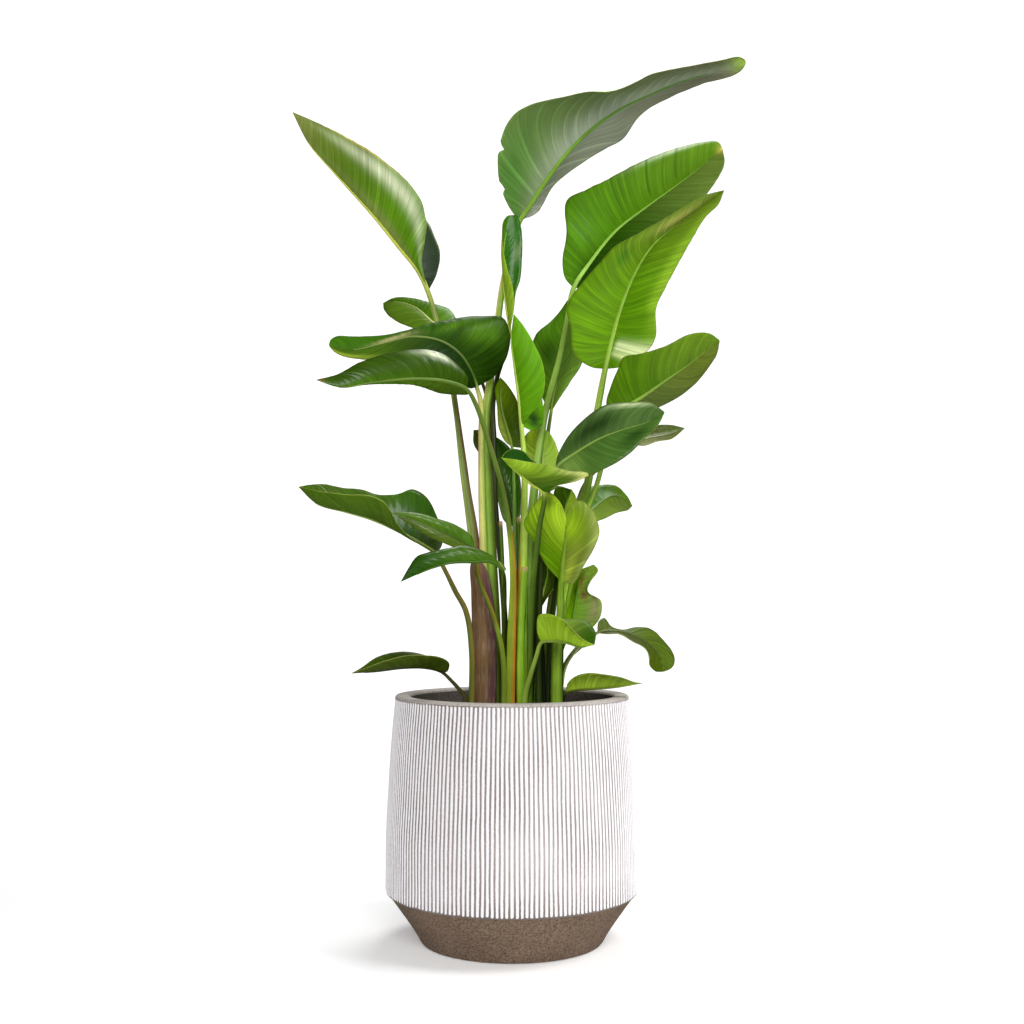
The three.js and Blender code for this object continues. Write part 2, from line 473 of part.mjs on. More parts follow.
// The stalk runs on under the blade as its midrib, thinning to a point.
function stalkAndMidrib(leaf, grow = 0) {
  const whole = curveThrough([...leaf.stalk, ...leaf.rib]);
  const stalkShare = leaf.stalkCurve.getLength() / whole.getLength();
  const end = THREE.MathUtils.lerp(stalkShare, 1, MIDRIB_REACH);
  const radiusAt = radiusAlong(leaf);
  const sides = leaf.stalk[0][3] > THICK_STALK ? STALK_SIDES + 1 : STALK_SIDES;
  const steps = Math.ceil((leaf.stalk.length + leaf.rib.length) * STEPS_PER_POINT);
  return bar(whole, (share) => radiusAt(share) + grow, sides, steps, end);
}

// The hole for a stalk is cut by the stalk itself, grown all round and standing a little deeper.
function lowered(leaf) {
  const [[x, y, z, radius], ...rest] = leaf.stalk;
  return { ...leaf, stalk: [[x, y, z - HOLE_GROWTH, radius], ...rest] };
}

// Only the largest piece is kept: a hollow that the fusing seals is filled, a loose scrap dropped.
function onePiece(solid) {
  const pieces = solid.decompose();
  return pieces.reduce((best, piece) => (piece.volume() > best.volume() ? piece : best));
}

const leafSolid = (leaf) => onePiece(stalkAndMidrib(leaf).add(bladeSolid(leaf, BLADE)));

// ---- planter and soil ---------------------------------------------------------------------
function lathe(profile, segments) {
  return new THREE.LatheGeometry(profile.map(([r, z]) => new THREE.Vector2(r, z)), segments);
}

// A lathe turns about Y; its vertices are swung over so that it turns about Z.
function upright(geometry) {
  return geometry.rotateX(Math.PI / 2);
}

const RIB_FOOT = SHOULDER_HEIGHT + 2;
const RIB_TOP = POT_HEIGHT - RIM_BAND;
const INNER_RADIUS = RIM_RADIUS - WALL;
const FLOOR_RADIUS = INNER_RADIUS - 28;   // the inside narrows to this at its floor
const TAPER_TOP = 110;                    // height at which that taper starts

function planterSolid() {
  const profile = [
    [0, 0], [FOOT_RADIUS, 0], [FOOT_RADIUS + FOOT_LIP[0], FOOT_LIP[1]], FOOT_SIDE,
    [BELLY_RADIUS - 0.5, SHOULDER_HEIGHT], [BELLY_RADIUS, RIB_FOOT], [BELLY_RADIUS, 160],
    [BELLY_RADIUS - 5, 275], [RIM_RADIUS + 0.8, RIB_TOP],
    [RIM_RADIUS + 0.5, RIB_TOP + 0.5], [RIM_RADIUS - 1, POT_HEIGHT], [INNER_RADIUS + 1.5, POT_HEIGHT],
    [INNER_RADIUS, POT_HEIGHT - 4], [INNER_RADIUS, TAPER_TOP], [FLOOR_RADIUS, FLOOR_THICKNESS],
    [0, FLOOR_THICKNESS],
  ];
  const geometry = lathe(profile, RIB_COUNT * 2);
  const position = geometry.attributes.position;
  const rings = profile.length;
  for (let i = 0; i < position.count; i += 1) {
    const turn = Math.floor(i / rings);
    const height = position.getY(i);
    const radius = Math.hypot(position.getX(i), position.getZ(i));
    const ribbed = radius > INNER_RADIUS + 5 && height >= RIB_FOOT - 0.1 && height <= RIB_TOP + 0.1;
    if (ribbed && turn % 2 === 1) {
      const sunk = (radius - RIB_RELIEF) / radius;
      position.setX(i, position.getX(i) * sunk);
      position.setZ(i, position.getZ(i) * sunk);
    }
  }
  return toSolid(upright(geometry));
}

// The soil fills the planter, with a shallow uneven top, and is bored where each stalk stands in it.
function soilSolid(cutters) {
  const side = INNER_RADIUS - GAP;
  const profile = [
    [0, FLOOR_THICKNESS + GAP], [FLOOR_RADIUS - GAP, FLOOR_THICKNESS + GAP], [side, TAPER_TOP + GAP],
    [side, SOIL_TOP], [side * 0.7, SOIL_TOP], [side * 0.35, SOIL_TOP], [0, SOIL_TOP],
  ];
  const geometry = upright(lathe(profile, SOIL_SEGMENTS));
  const position = geometry.attributes.position;
  for (let i = 0; i < position.count; i += 1) {
    const [x, y, z] = [position.getX(i), position.getY(i), position.getZ(i)];
    const inside = Math.hypot(x, y) < side - 1;
    if (inside && z > SOIL_TOP - 1) position.setZ(i, z + SOIL_BUMP * Math.sin(x / 23) * Math.cos(y / 17));
  }
  return cutters.reduce((soil, cutter) => soil.subtract(cutter), toSolid(geometry));
}

// ---- stubs of old cut stalks and a dead sheath ---------------------------------------------
const ROOT_LEVEL = SOIL_TOP - ROOT_DEPTH;
const STUB_STEPS = 4;
const CUT_STALKS = [
  {
    name: 'cut_stalk_left',
    tint: 'mid',
    radius: [6.5, 5.5],
    points: [[14, -46, ROOT_LEVEL], [14, -46, 497], [21, -48, 617]],
  },
  {
    name: 'cut_stalk_right',
    tint: 'mid',
    radius: [5.5, 4.6],
    points: [[31, -42, ROOT_LEVEL], [32, -42, 496], [37, -44, 612]],
  },
  {
    name: 'shaded_stalk_left',
    tint: 'dark',
    radius: [4.4, 3.4],
    points: [[-15, 24, ROOT_LEVEL], [-14, 24, 494], [-17, 25, 630], [-20, 26, 697]],
  },
  {
    name: 'shaded_stalk_centre',
    tint: 'dark',
    radius: [4.2, 3.4],
    points: [[9, 38, ROOT_LEVEL], [9, 38, 494], [11, 40, 631], [11, 42, 705]],
  },
];

function cutStalkSolid({ radius, points }, grow = 0) {
  const [[x, y, z], ...rest] = points;
  const radiusAt = (share) => THREE.MathUtils.lerp(radius[0], radius[1], share) + grow;
  return bar(curveThrough([[x, y, z - grow], ...rest]), radiusAt, STALK_SIDES, STUB_STEPS);
}

// With a growth it is the slot in the soil: deeper by that much, and a little wider about its rib.
function drySheath(growth = 0) {
  const foot = ROOT_LEVEL - growth;
  const wider = 1 + growth / 13;
  const rib = [[-44, -46, foot], [-45, -46, 497], [-51, -43, 579], [-59, -38, 639]];
  const tip = rib[3];
  const left = [
    [-44 - 19 * wider, -46 + 19 * wider, foot], [-45 - 21 * wider, -46 + 19 * wider, 496],
    [-68, -28, 579], [-69, -31, 621],
  ];
  const right = [
    [-44 + 17 * wider, -46 + 18 * wider, foot], [-45 + 19 * wider, -46 + 19 * wider, 463],
    [-29, -28, 546], [-41, -34, 609],
  ];
  return {
    start: 0, stations: 7, halfSteps: 2, crown: 2, wave: 0, ripples: 0,
    ribCurve: curveThrough(rib),
    leftCurve: curveThrough([...left, tip]),
    rightCurve: curveThrough([...right, tip]),
  };
}

// ---- the plant ----------------------------------------------------------------------------
const plant = new THREE.Group();
const leaves = LEAVES.map(completeLeaf);
const cutters = [
  ...leaves.map((leaf) => stalkAndMidrib(lowered(leaf), HOLE_GROWTH)),
  ...CUT_STALKS.map((stalk) => cutStalkSolid(stalk, HOLE_GROWTH)),
  bladeSolid(drySheath(HOLE_GROWTH), SHEATH + 3 * HOLE_GROWTH),
];

plant.add(toMesh('planter', planterSolid(), FINISH.clay));
plant.add(toMesh('potting_soil', soilSolid(cutters), FINISH.soil));
for (const leaf of leaves) plant.add(toMesh(leaf.name, leafSolid(leaf), FINISH[leaf.tint]));
for (const stalk of CUT_STALKS) plant.add(toMesh(stalk.name, cutStalkSolid(stalk), FINISH[stalk.tint]));
plant.add(toMesh('dry_sheath', bladeSolid(drySheath(), SHEATH), FINISH.dry));

export default plant;
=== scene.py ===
"""A potted bird of paradise: broad waxy leaves on long stalks, in a ribbed, white-washed clay planter.

The frame is in metres, +Z up, the front towards -Y. Shapes are written in millimetres, and MM turns
them to metres.
"""
import math
import random
from functools import lru_cache

import bmesh
import bpy
from mathutils import Matrix, Vector, noise


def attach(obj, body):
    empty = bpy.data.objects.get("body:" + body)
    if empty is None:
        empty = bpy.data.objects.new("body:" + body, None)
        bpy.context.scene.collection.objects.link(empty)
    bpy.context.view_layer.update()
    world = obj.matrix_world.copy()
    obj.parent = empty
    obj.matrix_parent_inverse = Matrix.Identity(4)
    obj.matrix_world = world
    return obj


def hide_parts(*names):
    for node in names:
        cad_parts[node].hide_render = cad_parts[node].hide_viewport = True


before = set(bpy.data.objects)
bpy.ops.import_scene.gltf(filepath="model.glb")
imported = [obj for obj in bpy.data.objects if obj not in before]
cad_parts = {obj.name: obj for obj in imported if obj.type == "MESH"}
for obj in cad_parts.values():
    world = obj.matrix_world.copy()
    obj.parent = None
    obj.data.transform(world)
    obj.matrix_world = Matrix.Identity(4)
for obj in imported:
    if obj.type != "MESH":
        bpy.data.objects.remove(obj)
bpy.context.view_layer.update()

MM = 0.001
TURN = 2 * math.pi
random.seed(7)

# ---- sizes, in millimetres ------------------------------------------------------------------
POT_HEIGHT = 404
BELLY_RADIUS = 210
INNER_RADIUS = 171
FOOT_RADIUS = 146
SHOULDER_HEIGHT = 84        # where the bare clay foot ends and the scored ribs begin
RIM_BAND = 4                # plain band between the ribs and the top of the rim
RIBS = 174
RIB_SHAPE = (0.0, 0.0, 0.5, 1.0, 1.0, 1.0, 0.5, 0.0)    # height over one rib, groove to groove
RIB_RELIEF = 1.5
SECTORS = 12                # the wall is spun one sector wide, and the sector is then repeated
SOIL_TOP = 378
SOIL_BED = 345              # the underside of the soil, out of sight
CRUMBS = 420
CRUMB_SIZES = (1.6, 4.6)
BLADE = 0.8                 # thickness of a leaf blade
HUSK = 1.2                  # thickness of the dead sheath
ROW_PITCH = 2.3             # distance between the rows of a blade's mesh
COLUMN_PITCH = 6.5
COLUMN_CROWDING = 1.15      # above 1, the columns lie closer together near the midrib
STALK_SIDES = 20
STALK_ROW = 5
MIDRIB_REACH = 0.86         # share of the blade that the raised midrib runs along
MIDRIB_END_RADIUS = 0.9
TIP_SHARE = 0.996           # how near to the tip the blade's last row comes
VEIN_SLANT = 0.22           # how far a side vein has run towards the tip when it meets the margin
FOLD = 0.4                  # height of the even folds, as a share of a leaf's pleat
FOLD_NOISE = 0.8            # and of the uneven ones added to them
SLOW_WAVE = 2.6             # how far a blade waves, and over what length
SLOW_LENGTH = 75
EDGE_WAVE = 1.5             # how far its margin waves, and over what length
EDGE_LENGTH = 26
RIPPLE = 0.012              # how far the margin wanders outwards, as a share of the half's width
RIPPLE_LENGTH = 12
PAINT_EDGE = 0.03           # half the width of the step between the two halves' colours
CURVE_SAMPLES = 26          # samples of a curve between two of its points
ROUTE_STEPS = 420           # even steps that a route is read by
EYE = Vector((0, -2195, 575))      # where the photograph was taken from

# ---- colours, sRGB --------------------------------------------------------------------------
MOSS = "#3a6414"
LEAF = "#4d8012"
GRASS = "#5c930f"
LIME = "#95bb34"
STRAW = "#c3cd62"
CREAM = "#e4e8b4"
SAGE = "#7c9450"
BARK = "#6a4f35"


@lru_cache(maxsize=None)
def linear(code):
    """An sRGB hex code as linear red, green, blue and alpha."""
    parts = [int(code[i:i + 2], 16) / 255 for i in (1, 3, 5)]
    return tuple(p / 12.92 if p <= 0.04045 else ((p + 0.055) / 1.055) ** 2.4 for p in parts) + (1.0,)


def blend(low, high, share):
    """A colour that is a share of the way from one to another."""
    return tuple(a + (b - a) * share for a, b in zip(low, high))


def clamp(value):
    """The value, held between 0 and 1."""
    return max(0.0, min(1.0, value))


def smooth(low, high, value):
    """A smooth step from 0 at low to 1 at high."""
    t = clamp((value - low) / (high - low))
    return t * t * (3 - 2 * t)


def rough(a, b=0.0, c=0.0):
    """Smooth noise from -1 to 1."""
    return noise.noise(Vector((a, b, c)))


# ---- curves ---------------------------------------------------------------------------------
class Route:
    """A smooth curve through points, read by its share of the length (centripetal Catmull-Rom)."""

    def __init__(self, points):
        points = [Vector(p[:3]) for p in points]
        ends = [2 * points[0] - points[1]] + points + [2 * points[-1] - points[-2]]
        self.line = [points[0]]
        for i in range(len(points) - 1):
            self.line += self.segment(*ends[i:i + 4])
        self.marks = [0.0]
        for a, b in zip(self.line, self.line[1:]):
            self.marks.append(self.marks[-1] + (b - a).length)
        self.length = self.marks[-1]
        self.knots = self.marks[::CURVE_SAMPLES]

    @staticmethod
    def segment(p0, p1, p2, p3):
        """The samples of the curve from p1 to p2, with p0 before it and p3 after it."""
        d0, d1, d2 = (math.sqrt((b - a).length) for a, b in ((p0, p1), (p1, p2), (p2, p3)))
        t1 = ((p1 - p0) / d0 - (p2 - p0) / (d0 + d1) + (p2 - p1) / d1) * d1
        t2 = ((p2 - p1) / d1 - (p3 - p1) / (d1 + d2) + (p3 - p2) / d2) * d1
        made = []
        for i in range(1, CURVE_SAMPLES + 1):
            t = i / CURVE_SAMPLES
            made.append(p1 + t1 * t + (3 * (p2 - p1) - 2 * t1 - t2) * t ** 2
                        + (2 * (p1 - p2) + t1 + t2) * t ** 3)
        return made

    def at(self, share):
        """The point at a share of the length."""
        goal = clamp(share) * self.length
        low, high = 0, len(self.marks) - 1
        while high - low > 1:
            middle = (low + high) // 2
            if self.marks[middle] > goal:
                high = middle
            else:
                low = middle
        step = self.marks[high] - self.marks[low]
        return self.line[low].lerp(self.line[high], (goal - self.marks[low]) / step if step else 0)


def even(route):
    """A quick reader of a route, by its points at even steps."""
    points = [route.at(i / ROUTE_STEPS) for i in range(ROUTE_STEPS + 1)]

    def read(share):
        place = clamp(share) * ROUTE_STEPS
        low = min(int(place), ROUTE_STEPS - 1)
        return points[low].lerp(points[low + 1], place - low)
    return read


# ---- materials ------------------------------------------------------------------------------
# Noise over Object coordinates has its scale per metre: 14 makes patches about 70 mm across.
def add(tree, kind, inputs=(), out=0, **settings):
    """Adds a shader node and gives one output; its inputs are in order, or by name in a dict."""
    made = tree.nodes.new("ShaderNode" + kind)
    for name, value in settings.items():
        setattr(made, name, value)
    named = inputs if isinstance(inputs, dict) else dict(enumerate(inputs))
    for name, value in named.items():
        if isinstance(value, bpy.types.NodeSocket):
            tree.links.new(value, made.inputs[name])
        else:
            made.inputs[name].default_value = value
    return made.outputs[out] if len(made.outputs) else None


def start(name):
    """A new material and its empty node tree."""
    material = bpy.data.materials.new(name)
    material.use_nodes = True
    tree = material.node_tree
    tree.nodes.clear()
    return material, tree


def end(tree, relief=None, **inputs):
    """Closes a material with its one surface shader; underscores in names stand for spaces.

    relief is a pattern, the millimetres that it stands out, and how strongly it shows.
    """
    named = {key.replace("_", " "): value for key, value in inputs.items()}
    if relief:
        pattern, depth, strength = relief
        named["Normal"] = add(tree, "Bump", {"Height": pattern, "Distance": depth * MM,
                                             "Strength": strength})
    add(tree, "OutputMaterial", {"Surface": add(tree, "BsdfPrincipled", named)})


def mottled(tree, colour, pattern, darkest, lightest):
    """A colour made darker and lighter by a noise pattern."""
    factor = add(tree, "MapRange", (pattern, 0.3, 0.7, darkest, lightest))
    return add(tree, "VectorMath", {0: colour, "Scale": factor}, operation="SCALE")


def covered(tree, under, over, pattern, first=0.0, full=1.0, amount=1.0):
    """One colour laid over another, from where a pattern reaches first to where it is full."""
    share = add(tree, "MapRange", (pattern, first, full, 0.0, amount))
    return add(tree, "Mix", {0: share, 6: under, 7: over}, out=2, data_type="RGBA")


def fleshed(tree, tint, blue):
    """The colour painted on a mesh, with only a share of its blue: leaf flesh swallows blue light."""
    paint = add(tree, "Attribute", out="Color", attribute_name=tint)
    return add(tree, "VectorMath", (paint, (1.0, 1.0, blue)), operation="MULTIPLY")


def streaked(tree, across, along, detail, roughness=0.6):
    """Noise stretched with the grain, in the millimetres of the mesh's own veins map."""
    grain = add(tree, "Mapping", {"Vector": add(tree, "UVMap", uv_map="veins"),
                                  "Scale": (1 / across, 1 / along, 1)})
    return add(tree, "TexNoise", {"Vector": grain, "Scale": 1.0, "Detail": detail, "Roughness": roughness})


VEIN_PITCH = 2.4            # distance between the finest side veins
SPECK_SIZE = 3.2            # distance between the pale specks on old leaves


def leaf_skin(name, tint, blue, roughness, gloss, coat, streak, vein_light, margin, edge_light):
    """The skin of a living leaf: fine side veins in a waxy surface.

    tint names the colour painted on the mesh, and blue is the share of blue left in it; streak is how
    much the fine veins vary it; vein_light is how much paler the raised side veins are; gloss and coat
    are the wax; edge_light is how much the colour of the thin margin shows.
    """
    material, tree = start(name)
    spot = add(tree, "TexCoord", out="Object")
    fine = streaked(tree, 90, VEIN_PITCH, 2.0)
    broad = streaked(tree, 160, VEIN_PITCH * 4.5, 1.0, roughness=0.5)
    cloud = add(tree, "TexNoise", {"Vector": spot, "Scale": 14.0, "Detail": 3.0})
    toned = mottled(tree, fleshed(tree, tint, blue), fine, 1 - streak, 1 + streak)
    toned = mottled(tree, toned, broad, 1 - streak * 0.6, 1 + streak * 0.6)
    toned = mottled(tree, toned, cloud, 0.88, 1.12)

    # The side veins: a thin paler line on the crest of each fold.
    phase = add(tree, "Attribute", out="Fac", attribute_name="phase")
    raised = add(tree, "Attribute", out="Fac", attribute_name="raised")
    turn = add(tree, "Math", (phase, TURN), operation="MULTIPLY")
    swing = add(tree, "Math", (turn,), operation="SINE")
    crest = add(tree, "MapRange", (swing, 0.82, 0.99, 0.0, vein_light))
    vein = add(tree, "Math", (crest, raised), operation="MULTIPLY")
    paler = add(tree, "Math", (vein, 1.0), operation="ADD")
    toned = add(tree, "VectorMath", {0: toned, "Scale": paler}, operation="SCALE")

    # The margin: its own colour in a thin line at both edges of the place map.
    across = add(tree, "SeparateXYZ", (add(tree, "UVMap", uv_map="place"),), out="X")
    from_middle = add(tree, "Math", (across, 0.5), operation="SUBTRACT")
    edge = add(tree, "Math", (from_middle,), operation="ABSOLUTE")
    toned = covered(tree, toned, linear(margin), edge, 0.489, 0.498, edge_light)

    # Pale specks, in a few places only.
    speck = add(tree, "TexVoronoi", {"Vector": spot, "Scale": 1 / (SPECK_SIZE * MM)}, out="Distance")
    cluster = add(tree, "TexNoise", {"Vector": spot, "Scale": 60.0})
    few = add(tree, "MapRange", (cluster, 0.60, 0.68, 0.0, 0.5))
    toned = covered(tree, toned, linear(CREAM), speck, 0.10, 0.06, few)

    grain = add(tree, "Math", (fine, broad), operation="ADD")
    height = add(tree, "Math", (grain, vein), operation="ADD")
    worn = add(tree, "MapRange", (cloud, 0.3, 0.7, roughness * 0.88, roughness * 1.12))
    end(tree, relief=(height, 0.35, 0.5), Base_Color=toned, Roughness=worn, Specular_IOR_Level=gloss,
        Coat_Weight=coat, Coat_Roughness=0.17)
    return material


def margin_skin(name, colour):
    """The thin cut edge of a blade: paler than its faces, dried brown in places."""
    material, tree = start(name)
    spot = add(tree, "TexCoord", out="Object")
    cloud = add(tree, "TexNoise", {"Vector": spot, "Scale": 35.0})
    toned = covered(tree, linear(colour), linear(BARK), cloud, 0.55, 0.7, 0.7)
    end(tree, Base_Color=toned, Roughness=0.5)
    return material


def stalk_skin(name, roughness, streak, coat=0.0, grain=0.5, blue=0.65):
    """A fleshy leaf stalk: fibres run along it, with small corky scars."""
    material, tree = start(name)
    spot = add(tree, "TexCoord", out="Object")
    fibres = streaked(tree, 1.3, 70, 3.0)
    cloud = add(tree, "TexNoise", {"Vector": spot, "Scale": 28.0, "Detail": 4.0})
    toned = mottled(tree, fleshed(tree, "near_tint", blue), fibres, 1 - streak, 1 + streak)
    toned = mottled(tree, toned, cloud, 0.88, 1.1)
    scars = streaked(tree, 3.0, 11, 5.0, roughness=0.5)
    toned = covered(tree, toned, linear(BARK), scars, 0.66, 0.74, 0.8)
    end(tree, relief=(fibres, 0.4, grain), Base_Color=toned, Roughness=roughness,
        Specular_IOR_Level=0.25, Coat_Weight=coat, Coat_Roughness=0.25)
    return material


# Upper faces with thick wax: dark green with long soft highlights.
GLOSSY = leaf_skin("waxy_leaf_top", "near_tint", 0.6, 0.38, 0.12, 0.2, 0.22, 0.2, BARK, 0.35)
GLOSSY_BACK = leaf_skin("waxy_leaf_top_far", "far_tint", 0.6, 0.4, 0.15, 0.15, 0.2, 0.15, STRAW, 0.3)
# Faces with thin wax: an even satin green, with the side veins drawn a little paler.
SATINY = leaf_skin("satin_leaf_face", "near_tint", 0.6, 0.5, 0.06, 0.03, 0.22, 0.25, BARK, 0.35)
# An underside with a powdery bloom: greyish and dull, with plain veins.
BLOOMED = leaf_skin("bloomed_leaf_underside", "near_tint", 1.0, 0.6, 0.1, 0.0, 0.14, 0.5, GRASS, 0.3)
# Thin young leaves that light shines through: the yellow-green of that light is painted into their colour,
# with clear veins.
BACKLIT = leaf_skin("thin_leaf_painted_backlight", "near_tint", 0.5, 0.5, 0.06, 0.0, 0.24, 0.45, BARK, 0.3)
# The plain undersides that the front view hardly shows.
MATT_BACK = leaf_skin("matt_leaf_underside_far", "far_tint", 0.7, 0.55, 0.1, 0.0, 0.16, 0.2, STRAW, 0.4)
MARGIN = margin_skin("leaf_margin", "#8a9430")
# Fleshy stalks: smooth and faintly glossy, streaked lengthwise.
STALK = stalk_skin("fleshy_leaf_stalk", 0.42, 0.16, coat=0.08)
# The dead sheath: dry, papery and rough, with strong fibres.
DRY = stalk_skin("dry_papery_sheath", 0.78, 0.30, grain=1.0, blue=1.0)


# ---- leaves, in millimetres -----------------------------------------------------------------
# stalk: the centre line and radius from the soil up; rib: the midrib; left, right: the margins; crown:
# how far each half bulges; neck: the stalk's radius at the blade; pleat: how deep the side veins fold
# it; spacing: the distance between the folds; slant: how far a side vein runs towards the tip.
# near is the face that most of the blade turns to the front view, and far the other one: (colour of
# the left half, colour of the right half), with tips and far_tips for the last part of the leaf. stem
# has the stalk's left, middle and right colours as the front view sees them: the stalk's own colour, with
# painted highlight on its pale side and painted shade on its dark side; midrib has its colours at the two
# ends.
# A patch is (place across from -1 to 1, place along from 0 to 1, reach across, reach along, colour);
# some patches are painted highlights and some are painted shade, named where they stand. A band is (share
# of the stalk from, to, colour, weight). A crease or glint is (side, place along the midrib, width, colour)
# and runs with the side veins: a dark crease, or a pale painted highlight. A nick is (side, place along,
# depth, width).
PLAIN = dict(skin=SATINY, back=MATT_BACK, near=(LEAF, MOSS), far=(SAGE, SAGE), tips=None, far_tips=None,
             pleat=0.7, spacing=12, slant=VEIN_SLANT, midrib=("#b8cc6c", GRASS),
             stem=("#8fae48", "#5f8430", "#3c5a22"), patches=[], bands=[], creases_and_glints=[], nicks=[])
